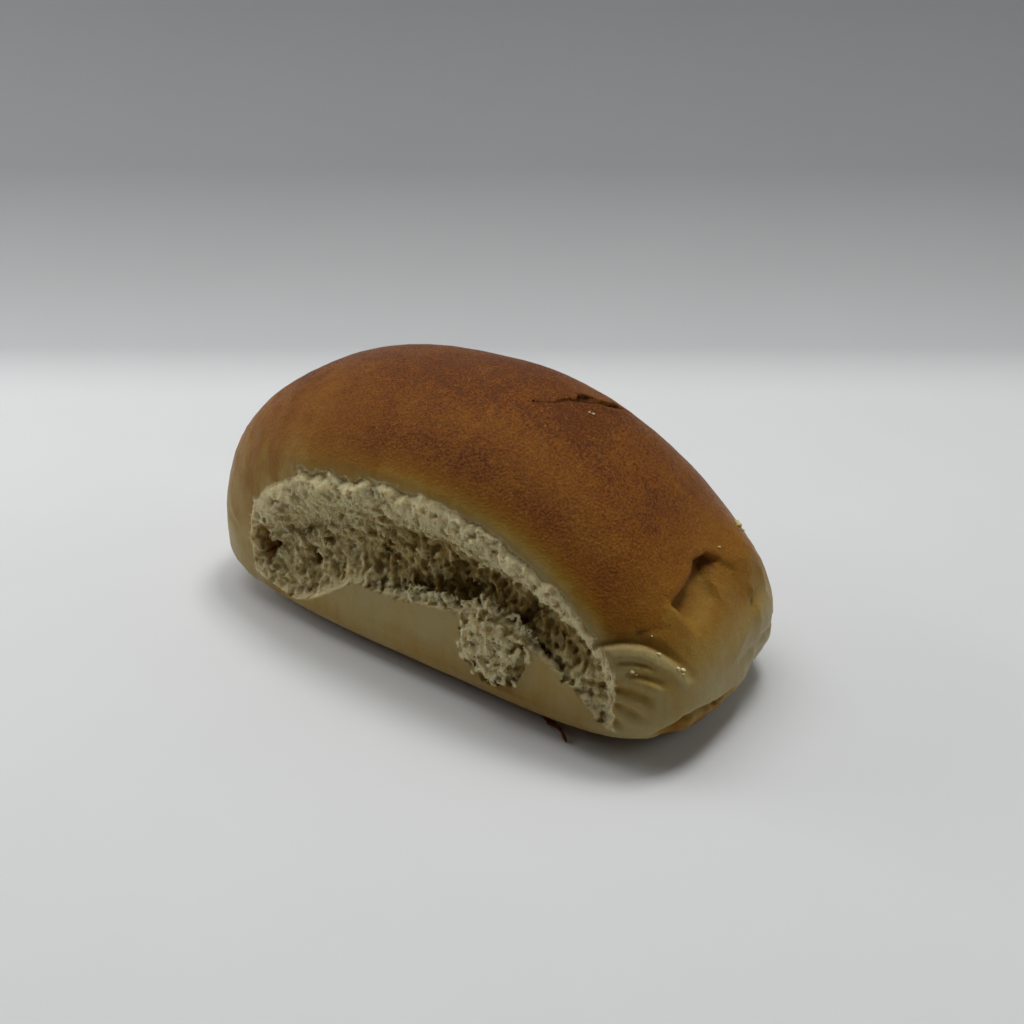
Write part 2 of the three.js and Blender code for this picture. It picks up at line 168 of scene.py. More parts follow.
# Small marks of the crust: raised scratches, and dark spots with their radius and darkness
SCRATCHES = [
    ([(38.6, -19.2, 36.0), (40.4, -18.4, 35.6), (42.0, -18.2, 34.6)], 0.3, 0.45),
    ([(38.8, -16.5, 37.7), (40.0, -15.9, 37.0), (41.4, -15.6, 35.9)], 0.22, 0.4),
    ([(42.4, -17.4, 33.6), (43.6, -15.8, 33.8), (44.8, -13.8, 33.2)], 0.2, 0.5),
]
DARK_SPOTS = [((47.5, -20.4, 26.5), 0.9, 1.0), ((36.4, -16.9, 39.2), 1.0, 0.3),
              ((12.0, -19.0, 47.0), 0.7, 0.2)]

# Crack across the crown
CRACK_LINE = [(14.9, -5.4, 53.4), (16.8, -3.3, 53.0), (18.1, -0.6, 52.6), (18.6, 1.6, 52.4),
              (19.6, 4.0, 51.9), (21.2, 6.4, 51.0), (22.6, 9.2, 49.9), (24.0, 13.2, 47.8)]
CRACK_DEPTH = 2.3
CRACK_WIDTH = 0.95

# Brown side of the sole under the right end, which the pale bulge above it overhangs
BULGE_EDGE = [(51.6, -22.6, 7.6), (53.2, -21.0, 8.8), (54.6, -19.1, 10.2), (55.6, -17.1, 11.0),
              (56.5, -14.6, 10.9), (57.1, -11.3, 10.2), (57.4, -7.1, 9.2), (57.4, -2.6, 8.2),
              (56.6, 5.0, 6.4)]
BULGE_EDGE_DEPTH = 1.2
BULGE_EDGE_WIDTH = 0.8
BULGE_OVERHANG = 0.6
SOLE_FLARE = 1.7                    # how far the sole's side spreads out again at the floor

# Folds at the left end: corners, rise and width of each
LEFT_FOLDS = [
    ([(-55.5, -9, 8), (-50.5, -18.5, 6.5), (-41, -24.8, 5.8), (-30, -25.3, 5)], 0.8, 1.4),
    ([(-52.5, -17.0, 12), (-47.0, -22.6, 9.0), (-40.5, -25.2, 7.6)], 0.6, 1.0),
    ([(-50.0, -21.0, 19), (-45.0, -24.4, 15), (-41.0, -25.4, 10)], 0.45, 1.0),
]
LEFT_NOTCH = [(-49.5, -21.5, 19.5), (-44.5, -25.0, 18.2)]
LEFT_NOTCH_DEPTH = 0.6
LEFT_NOTCH_WIDTH = 0.8

# Far side of the right end: swellings with their radius and rise, and pleats
END_SWELLINGS = [((53.2, 10, 29.5), 6.2, 2.1), ((57.2, 9, 19.5), 3.8, 0.6), ((56.6, 8, 9), 4.6, -1.1)]
END_PLEATS = [
    ([(54.6, 5.5, 26), (57.2, 6.0, 18), (56.6, 4.0, 9)], 0.5, 0.9),
    ([(53.5, 10.5, 27), (56.2, 11.5, 19), (56.6, 11.0, 11)], 0.55, 1.1),
    ([(51.0, 14.5, 27), (54.4, 15.8, 19), (55.0, 15.2, 10)], 0.5, 1.2),
    ([(57.6, -2, 13.6), (57.4, 6, 13.2), (56.4, 13, 13.0), (54, 17, 12.6)], -1.5, 0.9),
    ([(56.4, 2.8, 20.0), (57.0, 0.6, 18.2), (57.2, -1.9, 17.1), (57.4, -4.3, 15.3)], 0.4, 0.6),
    ([(54.6, 6.8, 23.4), (55.2, 5.8, 22.0), (55.9, 4.7, 20.9)], -0.8, 0.5),
    ([(55.5, 4, 22.5), (56.5, 9, 22), (55.5, 14, 21)], -0.6, 1.0),
]

# Zones outside which a mark has no effect: from and to in x, y and z
EVERYWHERE = (-99, 99)
RIGHT_END = ((38, 99), EVERYWHERE, EVERYWHERE)
LEFT_END = ((-99, -18), EVERYWHERE, EVERYWHERE)
WRINKLED = ((42, 99), EVERYWHERE, EVERYWHERE)
DENTED = ((44, 99), (-21, 11), (14, 38))
DENT_FLOOR = ((46, 99), (-17, 7), (18, 34))
CRACKED = ((12, 28), (-8, 17), (44, 99))
SCRATCHED = ((36, 47), (-99, -11), (31, 41))

# Fineness
VOXEL = 0.33
MARGIN = 4.0
TRIANGLES_KEPT = 190000
WEIGHT_STEPS = 8                    # grades of how much a part may be thinned out
FINEST = 0.06                       # weight of what keeps nearly all its triangles
SKIN_REACH = 4.2                    # the field is worked out in full this near the round body
TEAR_REACH = 12.0                   # and this deep behind the torn sides
FLUFF_REACH = 2.5
PLACES_AT_A_TIME = 400000
BODY_STEP = 0.05                    # over which slopes are measured
FIELD_STEP = 0.03
LEAST_SLOPE = 0.01
FAR = 1e9
MM = 0.001


def smoothstep(low, high, value):
    share = np.clip((value - low) / (high - low), 0.0, 1.0)
    return share * share * (3.0 - 2.0 * share)


def hump(distance, width):
    return np.exp(-((distance / width) ** 2))


def smooth_max(a, b, radius):
    share = np.maximum(radius - np.abs(a - b), 0.0) / radius
    return np.maximum(a, b) + share * share * radius / 4


def mix(a, b, share):
    return a + (b - a) * share


def oval_reach(oval, x, z):
    """Distance from the middle of an oval (x, z, half sizes): 1 on its edge."""
    return np.hypot((x - oval[0]) / oval[2], (z - oval[1]) / oval[3])


def gap_to(place, x, y, z):
    return np.sqrt((x - place[0]) ** 2 + (y - place[1]) ** 2 + (z - place[2]) ** 2)


def slopes_of(function, value, step, x, y, z):
    """How steeply a function with this value rises along x, y and z."""
    ahead = ((x + step, y, z), (x, y + step, z), (x, y, z + step))
    return [(function(*place) - value) / step for place in ahead]


def along(points, x):
    """Height of an outline of (x, height) points, eased between its points."""
    xs = [p[0] for p in points]
    heights = np.array([p[1] for p in points], dtype=float)
    spot = np.interp(x, xs, np.arange(len(xs)))
    whole = np.minimum(spot.astype(int), len(xs) - 2)
    share = smoothstep(0.0, 1.0, spot - whole)
    return mix(heights[whole], heights[whole + 1], share)


def level_of(points, x):
    """Height of a straight-sided outline of (x, height) points."""
    return np.interp(x, *zip(*points))


def to_line(corners, x, y, z):
    """Distance from points to a line of corners, the share of it passed, and its level there."""
    best = np.full(np.shape(x), FAR)
    share = np.zeros(np.shape(x))
    level = np.zeros(np.shape(x))
    for number, (start, end) in enumerate(zip(corners, corners[1:])):
        run = np.subtract(end, start)
        way = (x - start[0]) * run[0] + (y - start[1]) * run[1] + (z - start[2]) * run[2]
        way = np.clip(way / run.dot(run), 0.0, 1.0)
        gap = np.sqrt(
            (x - start[0] - way * run[0]) ** 2
            + (y - start[1] - way * run[1]) ** 2
            + (z - start[2] - way * run[2]) ** 2
        )
        nearer = gap < best
        best = np.where(nearer, gap, best)
        share = np.where(nearer, (number + way) / (len(corners) - 1), share)
        level = np.where(nearer, start[2] + way * run[2], level)
    return best, share, level


def over_line(corners, x, y, z):
    """Distance from a line of corners, below 0 under it, and the share of the line passed."""
    distance, share, level = to_line(corners, x, y, z)
    return np.where(z > level, distance, -distance), share


# Smooth noise from a seeded lattice of random numbers

LATTICE = 64


def make_lattice(seed):
    return np.random.default_rng(seed).uniform(-1.0, 1.0, LATTICE ** 3).astype(np.float32)


LATTICES = [make_lattice(seed) for seed in range(6)]


def as_three(size):
    return size if isinstance(size, tuple) else (size, size, size)


def noise(x, y, z, size, seed=0):
    """Noise between -1 and 1. Its lumps have this size, one number or one for each direction."""
    lattice = LATTICES[seed % len(LATTICES)]
    shift = 7.3 + 5.1 * seed
    lows = []
    shares = []
    for place, one in zip((x, y, z), as_three(size)):
        spot = place / one + shift
        low = np.floor(spot)
        part = (spot - low).astype(np.float32)
        shares.append(part * part * (3 - 2 * part))
        lows.append(low.astype(np.int64))
    total = 0.0
    for dx in (0, 1):
        across = shares[0] if dx else 1 - shares[0]
        column = ((lows[0] + dx) % LATTICE) * LATTICE
        for dy in (0, 1):
            along_y = across * (shares[1] if dy else 1 - shares[1])
            row = (column + (lows[1] + dy) % LATTICE) * LATTICE
            for dz in (0, 1):
                weight = along_y * (shares[2] if dz else 1 - shares[2])
                total = total + weight * lattice[row + (lows[2] + dz) % LATTICE]
    return total


def wall_noise(x, z, size, seed):
    """Noise that stays the same through the depth of a torn wall."""
    return noise(x, 0 * x, z, size, seed)


# Round body and its skin

def end_shape(x):
    """Share of the half length passed, roundness of that end, and height of the crown there."""
    u = 2 * x / LENGTH
    left = u < 0
    roundness = np.where(left, LEFT_ROUNDNESS, RIGHT_ROUNDNESS)
    crown = (HEIGHT - WAIST) * (1 - np.where(left, LEFT_DROP, RIGHT_DROP) * u * u)
    return np.abs(u), roundness, crown


def body_level(x, y, z):
    u, roundness, crown = end_shape(x)
    rise = z - WAIST
    upper = rise > 0
    power = np.where(upper, TOP_POWER, BOTTOM_POWER)
    across = np.abs(y) / np.where(y < 0, HALF_WIDTH_FRONT, HALF_WIDTH_BACK)
    upwards = np.abs(rise) / np.where(upper, np.maximum(crown, 1.0), WAIST)
    section = (across ** power + upwards ** power) ** (1 / power)
    return (u ** roundness + section ** END_BLEND) ** (1 / END_BLEND) - 1


def body_distance(x, y, z):
    level = body_level(x, y, z)
    slope_x, slope_y, slope_z = slopes_of(body_level, level, BODY_STEP, x, y, z)
    return level / np.maximum(np.sqrt(slope_x ** 2 + slope_y ** 2 + slope_z ** 2), LEAST_SLOPE)


def edge_level(tear, x):
    """Level at which the round body meets the plane of a tear."""
    u, roundness, crown = end_shape(x)
    radius = np.maximum(1 - u ** roundness, 1e-6) ** (1 / END_BLEND)
    across = np.minimum(tear["plane"] / tear["half_width"] / radius, 1.0)
    upwards = (1 - across ** TOP_POWER) ** (1 / TOP_POWER) * radius
    return WAIST + crown * upwards


def lip_level(tear, x):
    """Upper edge of the torn crumb."""
    return np.minimum(edge_level(tear, x), level_of(tear["lip"], x))


def near(zone, function, x, y, z):
    """The function inside a zone, and 0 elsewhere."""
    mask = np.ones(np.shape(x), dtype=bool)
    for place, (low, high) in zip((x, y, z), zone):
        mask &= (place > low) & (place < high)
    made = np.zeros(np.shape(x))
    if mask.any():
        made[mask] = function(x[mask], y[mask], z[mask])
    return made


def dent_frame():
    outward = Vector(DENT_OUTWARD).normalized()
    sideways = Vector((0, 0, 1)).cross(outward).normalized()
    return sideways, outward.cross(sideways)


def dent_reach(x, y, z):
    """Distance into the dent from its rim, seen square on, and the share of the rim passed."""
    sideways, upwards = dent_frame()
    rim = [(Vector(p).dot(sideways), Vector(p).dot(upwards)) for p in DENT_RIM]
    s = x * sideways[0] + y * sideways[1] + z * sideways[2]
    t = x * upwards[0] + y * upwards[1] + z * upwards[2]
    best = np.full(np.shape(x), FAR)
    signed = np.zeros(np.shape(x))
    share = np.zeros(np.shape(x))
    last = len(rim) - 2
    for number, (start, end) in enumerate(zip(rim, rim[1:])):
        run_s, run_t = end[0] - start[0], end[1] - start[1]
        squared = run_s ** 2 + run_t ** 2
        way = ((s - start[0]) * run_s + (t - start[1]) * run_t) / squared
        kept = np.clip(way, 0.0 if number else -9.0, 1.0 if number < last else 9.0)
        gap = np.hypot(s - start[0] - kept * run_s, t - start[1] - kept * run_t)
        below = run_s * (t - start[1]) - run_t * (s - start[0]) < 0
        nearer = gap < best
        best = np.where(nearer, gap, best)
        signed = np.where(nearer, np.where(below, gap, -gap), signed)
        share = np.where(nearer, (number + kept) / (last + 1), share)
    return signed, share


def dent_offset(x, y, z):
    signed, share = dent_reach(x, y, z)
    wall = smoothstep(-0.2, DENT_WALL, signed)
    fade = 1 - smoothstep(0.8, DENT_RUN, signed)
    ends = smoothstep(-0.12, 0.06, share) * (1 - smoothstep(0.95, 1.2, share))
    depth = DENT_DEPTH * (1 - 0.9 * smoothstep(0.5, 0.92, share))
    rise = DENT_RIM_RISE * hump(signed + 1.0, 1.2)
    return (-depth * wall * fade + rise) * ends


def dent_floor(x, y, z):
    """1 in the middle of the dent, below its wall."""
    signed, share = dent_reach(x, y, z)
    return smoothstep(1.0, 3.0, signed) * smoothstep(9.0, 5.0, signed) * hump(share - 0.45, 0.45)


def ridges(lines, x, y, z):
    total = 0.0
    for corners, rise, width in lines:
        distance, share, _ = to_line(corners, x, y, z)
        ends = smoothstep(0.0, 0.15, share) * (1 - smoothstep(0.8, 1.0, share))
        total = total + rise * hump(distance, width) * (0.25 + 0.75 * ends)
    return total


def fold_offset(x, y, z):
    """A ridge that is steep above, over a sharp crease, and falls away gently below."""
    height, share = over_line(FOLD_LINE, x, y, z)
    ridge = np.where(height > 0, hump(height, FOLD_STEEPNESS), hump(height, FOLD_WIDTH))
    crease = hump(height - CREASE_OFFSET, CREASE_WIDTH)
    ends = smoothstep(1.0, 0.55, share) * smoothstep(-0.1, 0.02, share)
    return (FOLD_RISE * ridge - CREASE_DEPTH * crease) * (0.3 + 0.7 * ends) * (np.abs(height) < 8)


def wrinkle_offset(x, y, z):
    """Wrinkles that fan out from the end of the tear, each a valley with a low ridge under it."""
    total = 0.0
    for corners, depth, width in WRINKLES:
        height, share = over_line(corners, x, y, z)
        ends = smoothstep(0.0, 0.1, share) * smoothstep(1.0, 0.55, share)
        profile = 0.6 * hump(height + 2.0 * width, 1.3 * width) - hump(height, width)
        total = total + depth * profile * ends
    return total


def below_bulge(x, y, z):
    """Height above the lower edge of the pale bulge, and how much of that edge there is."""
    distance, share, level = to_line(BULGE_EDGE, x, y, z)
    level = level + 0.5 * noise(x, y, 0 * z, 4.0, 2) + 0.25 * noise(x, y, 0 * z, 1.3, 3)
    ends = smoothstep(0.0, 0.16, share) * smoothstep(1.0, 0.8, share)
    return z - level, ends * smoothstep(14, 9, distance)


def sole_side(x, y, z):
    height, share = below_bulge(x, y, z)
    overhang = BULGE_OVERHANG * smoothstep(0.4, -0.6, height)
    groove = BULGE_EDGE_DEPTH * hump(height + 0.4, BULGE_EDGE_WIDTH)
    ragged = 0.45 * noise(x, y, z, 1.8, 1) + 0.3 * noise(x, y, z, 0.8, 4)
    rough = ragged * smoothstep(-0.3, -1.2, height) * smoothstep(2.5, 6.5, z)
    flare = SOLE_FLARE * smoothstep(6.5, 2.0, z) * smoothstep(-22, -17, y)
    return share * (rough - overhang - groove + flare)


def right_end_offset(x, y, z):
    total = fold_offset(x, y, z) + wrinkle_offset(x, y, z)
    slit, share, _ = to_line(SLIT_LINE, x, y, z)
    total -= SLIT_DEPTH * hump(slit, SLIT_WIDTH) * smoothstep(1.0, 0.5, share)
    for place, radius, rise in END_SWELLINGS:
        total += rise * hump(gap_to(place, x, y, z), radius)
    total += ridges(END_PLEATS, x, y, z)
    total += ridges([(DENT_LOWER_RIDGE, DENT_RIDGE_RISE, DENT_RIDGE_WIDTH)], x, y, z)
    streaks = noise(x, y + 0.15 * z, z, (1.5, 1.5, 12.0), 3)
    total += 0.13 * streaks * smoothstep(46, 54, x) * smoothstep(-6, 4, y)
    return total + sole_side(x, y, z)


def left_end_offset(x, y, z):
    total = ridges(LEFT_FOLDS, x, y, z)
    notch, _, _ = to_line(LEFT_NOTCH, x, y, z)
    total -= LEFT_NOTCH_DEPTH * hump(notch, LEFT_NOTCH_WIDTH)
    streaks = noise(x + 0.4 * z, y, z, (1.6, 1.6, 14.0), 3)
    total += 0.16 * streaks * smoothstep(-22, -34, x) * smoothstep(6, 14, z) * smoothstep(4, -10, y)
    return total


def crack_offset(x, y, z):
    wander = 0.5 * noise(x, y, z, 2.6, 4) + 0.3 * noise(x, y, z, 1.0, 5)
    crack, share, _ = to_line(CRACK_LINE, x + wander, y, z)
    gape = smoothstep(0.35, 0.62, share)
    ragged = 1 + 0.45 * noise(x, y, z, 1.3, 2)
    width = CRACK_WIDTH * (0.35 + 0.8 * gape) * ragged
    depth = CRACK_DEPTH * (0.3 + 0.7 * gape)
    ends = smoothstep(0.0, 0.05, share) * (1 - 0.85 * smoothstep(0.9, 1.0, share))
    profile = np.clip(1 - crack / width, 0, 1)
    shoulder = 0.22 * gape * hump(crack - width - 0.5, 0.8)
    return (-depth * np.sqrt(profile) + shoulder) * ends


def scratch_offset(x, y, z):
    return ridges(SCRATCHES, x, y, z)


def skin_offset(x, y, z):
    """How far the skin stands proud of the plain body."""
    total = 0.3 * noise(x, y, z, 17.0, 0) + 0.07 * noise(x, y, z, 5.5, 1)
    total += 0.035 * noise(x, y, z, 2.2, 2)
    total += near(DENTED, dent_offset, x, y, z)
    total += near(RIGHT_END, right_end_offset, x, y, z)
    total += near(LEFT_END, left_end_offset, x, y, z)
    total += near(CRACKED, crack_offset, x, y, z)
    total += near(SCRATCHED, scratch_offset, x, y, z)
    return total


# Torn sides

def outline(tear, x, z):
    """Millimetres below the lip, above the flap's edge, and in from the ends of the tear."""
    seed = tear["seed"]
    ragged = 1.0 * wall_noise(x, z, 4.6, seed) + 0.8 * wall_noise(x, z, 1.8, seed + 1)
    ragged = ragged + 0.5 * wall_noise(x, z, 0.85, seed + 3)
    below_lip = lip_level(tear, x) - z - 0.6 + ragged
    tatters = 0.7 * wall_noise(x, z, 4.0, seed + 2) + 0.4 * wall_noise(x, z, 1.3, seed + 3)
    loose = smoothstep(-16, -6, x) if tear is FRONT else 1.0
    above_flap = z - level_of(tear["flap"], x) + tatters * mix(0.35, 1.0, loose)
    from_ends = np.minimum(x - tear["left"], tear["right"] - x) + 0.4 * ragged
    return below_lip, above_flap, from_ends


def tear_share(tear, x, below_lip, above_flap, from_ends):
    """Least distance from the tear's outline, which behind the flap goes down to the cave's floor."""
    above_floor = above_flap + CAVE_BELOW * along(tear["cave"], x)
    return np.minimum(np.minimum(below_lip, above_floor), from_ends)


def hollow_depth(tear, x, z):
    total = 0.0
    for hollow in tear["hollows"]:
        total = total + hollow[4] * (1 - smoothstep(0.35, 1.15, oval_reach(hollow, x, z)))
    return total


def narrowing(x):
    """Share of its full width that the band under the lip has."""
    return mix(1.0, NARROWEST, smoothstep(NARROW_FROM, NARROW_TO, x))


def wall_depth(tear, x, z, below_lip, above_flap):
    """How far the torn crumb lies behind the plane of its side."""
    openness = along(tear["cave"], x)
    deep = along(tear["wall"], x)
    narrow = narrowing(x)
    seed = tear["seed"]
    uneven = 1 + 0.7 * wall_noise(x, z, 4.0, seed + 4) + 0.5 * wall_noise(x, z, 1.5, seed)
    broken = smoothstep(-0.7, 0.0, wall_noise(x, z, 5.0, seed + 1))
    groove = GROOVE_DEPTH * broken * uneven * hump(below_lip - 0.5, GROOVE_WIDTH)
    band = BAND_RISE * uneven * narrow * hump(below_lip - BAND_MIDDLE * narrow, BAND_WIDTH * narrow)
    settle = mix(smoothstep(0.0, 6.5, above_flap), 1.0, np.clip(openness, 0, 1))
    sink = deep * smoothstep(WALL_START * narrow, WALL_END * narrow, below_lip)
    cave = 1.6 * openness * (1 - smoothstep(0, 7, above_flap))
    return groove - band + sink * settle + cave + hollow_depth(tear, x, z)


def crumb_relief(tear, x, y, z, below_lip):
    """Lumps and pulled threads of the torn crumb."""
    seed = tear["seed"]
    band = 1 - smoothstep(4.0, 8.0, below_lip)
    lumps = 0.8 * noise(x, y, z, 4.8, seed) + 0.8 * noise(x, y, z, (1.9, 2.2, 2.4), seed + 1)
    grain = 0.5 * noise(x, y, z, (0.9, 1.0, 1.4), seed + 2)
    threads = 0.35 * noise(x + 0.25 * z, y, z, (0.7, 0.8, 4.0), seed + 3)
    pulled = 0.6 * noise(x, y, z, (4.5, 4.0, 2.6), seed + 4)
    return mix(lumps + grain, threads + pulled + 0.7 * grain, band)


def bulge(x, z):
    """How far the skin of the flap stands out from the plane of its side."""
    return FLAP_BULGE * hump(z - FLAP_BULGE_LEVEL, FLAP_BULGE_HEIGHT) * smoothstep(-40, -22, x)


def flap_field(tear, x, out, z, above_flap):
    """Flap of skin with a rim of bare crumb along its upper edge."""
    openness = along(tear["cave"], x)
    rim_height = level_of(tear["rim"], x)
    rim = smoothstep(-rim_height, -rim_height + 0.5, above_flap)
    face = out - tear["plane"] - bulge(x, z) + RIM_SETBACK * rim
    thickness = FLAP_THICKNESS + FLAP_TAPER * np.maximum(-above_flap, 0)
    behind = tear["plane"] - thickness - out
    flap = np.maximum(np.maximum(face, behind), above_flap)
    return np.where(openness > LEAST_CAVE, flap, NO_FLAP)


def patch_field(tear, x, y, z, out):
    """Patch of crumb that clings to the outside of the flap."""
    seed = tear["seed"]
    offset = oval_reach(tear["patch"], x, z)
    offset = offset + 0.2 * wall_noise(x, z, 3.2, seed + 5)
    offset = offset + 0.12 * wall_noise(x, z, 1.2, seed + 1)
    rise = tear["patch"][4] * (1 - smoothstep(0.6, 1.05, offset)) + bulge(x, z)
    rough = 0.6 * noise(x, y, z, 2.0, seed) + 0.4 * noise(x, y, z, 1.0, seed + 2)
    patch = np.maximum(out - tear["plane"] - rise - 0.5 * rough, (offset - 1.05) * 4)
    return np.maximum(patch, tear["plane"] - 1.6 - out)


def side_field(tear, x, y, z):
    """Field of one torn side: below 0 inside the bread."""
    out = tear["side"] * y
    below_lip, above_flap, from_ends = outline(tear, x, z)
    inside = smoothstep(0.0, 0.8, tear_share(tear, x, below_lip, above_flap, from_ends))
    depth = wall_depth(tear, x, z, below_lip, above_flap)
    relief = crumb_relief(tear, x, y, z, below_lip) * smoothstep(0.0, 2.0, below_lip)
    wall = out - tear["plane"] - bulge(x, z) * (1 - inside) + inside * (depth + relief)
    flap = flap_field(tear, x, out, z, above_flap)
    return np.minimum(np.minimum(wall, flap), patch_field(tear, x, y, z, out))


def softness(tear, x, y, z):
    """Rounding of the edge between body and plane: sharp at the lip, soft on untorn skin."""
    outward = smoothstep(0, 8, tear["side"] * y)
    from_ends = smoothstep(-2.5, 1.0, np.minimum(x - tear["left"], tear["right"] - x))
    skin_above = smoothstep(0.5, 4.0, edge_level(tear, x) - lip_level(tear, x))
    torn = outward * from_ends * smoothstep(WAIST, WAIST + 4, z) * (1 - skin_above)
    return mix(SKIN_ROUNDING, LIP_ROUNDING, torn)


def roll_field(x, y, z):
    """Whole roll before its pores: below 0 inside, in millimetres near the surface."""
    skin = body_distance(x, y, z) - skin_offset(x, y, z)
    field = skin
    for tear in TEARS:
        field = smooth_max(field, side_field(tear, x, y, z), softness(tear, x, y, z))
    return smooth_max(field, FOOT - z, mix(0.6, 1.8, smoothstep(47, 52, x)))


# Field on a grid, only worked out in full near the surface

def grid_axes():
    lows = (-LENGTH / 2 - MARGIN, -FRONT["plane"] - MARGIN, FOOT - MARGIN / 2)
    highs = (LENGTH / 2 + MARGIN, BACK["plane"] + MARGIN, HEIGHT + MARGIN / 2)
    return [np.arange(low, high, VOXEL) for low, high in zip(lows, highs)]


def rough_field(axes):
    x = axes[0][:, None, None]
    y = axes[1][None, :, None]
    z = axes[2][None, None, :]
    level = body_level(x, y, z).astype(np.float32)
    slopes = np.gradient(level, VOXEL)
    steep = np.sqrt(slopes[0] ** 2 + slopes[1] ** 2 + slopes[2] ** 2)
    body = level / np.maximum(steep, LEAST_SLOPE)
    plain = np.maximum(body, np.maximum(-y - FRONT["plane"], y - BACK["plane"]))
    return np.maximum(plain, FOOT - z).astype(np.float32)


def at_tears(axes):
    y = axes[1][None, :, None]
    return (y < -FRONT["plane"] + TEAR_REACH) | (y > BACK["plane"] - TEAR_REACH)


def fine_field(axes):
    field = rough_field(axes)
    behind_tears = at_tears(axes) & (field > -TEAR_REACH - 1) & (field < SKIN_REACH)
    places = np.nonzero((np.abs(field) < SKIN_REACH) | behind_tears)
    for start in range(0, len(places[0]), PLACES_AT_A_TIME):
        part = tuple(p[start:start + PLACES_AT_A_TIME] for p in places)
        field[part] = roll_field(axes[0][part[0]], axes[1][part[1]], axes[2][part[2]])
    return field


def fluff_field(axes, field):
    """Fine unevenness that makes the pores ragged instead of round."""
    fluff = np.zeros(field.shape, dtype=np.float32)
    places = np.nonzero(at_tears(axes) & (np.abs(field) < FLUFF_REACH))
    x, y, z = (axis[place] for axis, place in zip(axes, places))
    fluff[places] = 0.34 * noise(x, y, z, 0.9, 2) + 0.22 * noise(x, y, z, (0.6, 0.6, 0.9), 5)
    return fluff


# Pores: bubbles that the tear has opened. The dough is the field, its axes and its fluff.

BUBBLE_LEAST = 0.26
BUBBLE_SPREAD = 0.18
BUBBLE_MOST = 1.2
NARROW_BUBBLE_MOST = 0.62           # where the tear gets narrow
DEEP_SHARE = 0.26                   # of the pores lie wholly behind the wall's face
PORE_STRETCH = ((0.7, 1.1), (1.0, 1.6), (0.9, 1.7))
FACE_PORE_STRETCH = ((0.75, 1.15), (0.9, 1.4), (0.8, 1.4))
TATTERS = 300
TATTER_STRETCH = ((0.7, 1.2), (0.7, 1.2), (0.9, 1.7))
RIM_PORES = 900
LEAST_RIM = 0.4                     # a lower rim has no pores and no tatters of its own


def drawn(rng, ranges):
    """One random number from each range."""
    return tuple(rng.uniform(low, high) for low, high in ranges)


def stamp(dough, centre, radius, stretch, turn, hollow=True):
    """Takes one egg-shaped bubble out of the field, or adds one scrap of crumb."""
    field, axes, fluff = dough
    reach = radius * max(stretch) + 2 * VOXEL
    spans = []
    for axis, middle in zip(axes, centre):
        low = max(int((middle - reach - axis[0]) / VOXEL), 0)
        high = min(int((middle + reach - axis[0]) / VOXEL) + 2, len(axis))
        if high <= low:
            return
        spans.append(slice(low, high))
    spans = tuple(spans)
    x = (axes[0][spans[0]] - centre[0])[:, None, None]
    y = (axes[1][spans[1]] - centre[1])[None, :, None]
    z = (axes[2][spans[2]] - centre[2])[None, None, :]
    turned_x = x * math.cos(turn) + z * math.sin(turn)
    turned_z = z * math.cos(turn) - x * math.sin(turn)
    egg = np.sqrt((turned_x / stretch[0]) ** 2 + (y / stretch[1]) ** 2 + (turned_z / stretch[2]) ** 2)
    egg += fluff[spans]
    block = field[spans]
    if hollow:
        np.maximum(block, radius - egg, out=block)
    else:
        np.minimum(block, egg - radius, out=block)


def torn_places(tear, rng):
    """Random places on a torn wall: x, z, depth behind its plane and distance below the lip."""
    count = tear["pores"]
    x = rng.uniform(tear["left"] + 0.6, tear["right"] - 0.6, count * 4)
    z = rng.uniform(4.0, 44.0, count * 4)
    below_lip, above_flap, from_ends = outline(tear, x, z)
    floor = above_flap + CAVE_BELOW * along(tear["cave"], x)
    clear = mix(1.2, 0.4, smoothstep(-16, -8, x)) if tear is FRONT else 0.4
    good = (below_lip > 1.8) & (floor > clear) & (from_ends > 0.4)
    good = np.nonzero(good)[0][:count]
    x, z = x[good], z[good]
    below_lip, above_flap = below_lip[good], above_flap[good]
    depth = wall_depth(tear, x, z, below_lip, above_flap)
    y = -tear["side"] * (depth - tear["plane"])
    depth = depth + crumb_relief(tear, x, y, z, below_lip)
    return x, z, depth, below_lip


def open_pores(dough, tear):
    rng = np.random.default_rng(tear["seed"])
    x, z, depth, below_lip = torn_places(tear, rng)
    most = mix(BUBBLE_MOST, NARROW_BUBBLE_MOST, smoothstep(22, 31, x))
    for i in range(len(x)):
        radius = min(BUBBLE_LEAST + rng.exponential(BUBBLE_SPREAD), float(most[i]))
        radius *= 0.6 + 0.4 * float(smoothstep(4.0, 11.0, below_lip[i]))
        deep = rng.uniform(0, 1) < DEEP_SHARE
        sunk = radius * (rng.uniform(0.2, 0.8) if deep else rng.uniform(-0.75, 0.1))
        centre = (x[i], tear["side"] * (tear["plane"] - depth[i] - sunk), z[i])
        stretch = drawn(rng, PORE_STRETCH)
        stamp(dough, centre, radius, stretch, rng.uniform(-0.7, 0.7))


def outer_face(dough, side):
    """Where each line along Y first meets bread, coming from a torn side."""
    field, axes, _ = dough
    solid = field < 0 if side < 0 else (field < 0)[:, ::-1]
    first = solid.argmax(axis=1)
    ys = axes[1] if side < 0 else axes[1][::-1]
    return np.where(solid.any(axis=1), ys[first], 0.0)


def pore_on_face(dough, face, side, x, z, radius, rng):
    axes = dough[1]
    column = int(round((x - axes[0][0]) / VOXEL)), int(round((z - axes[2][0]) / VOXEL))
    y = face[column] - side * radius * rng.uniform(-0.1, 0.7)
    stretch = drawn(rng, FACE_PORE_STRETCH)
    stamp(dough, (x, y, z), radius, stretch, rng.uniform(-0.8, 0.8))


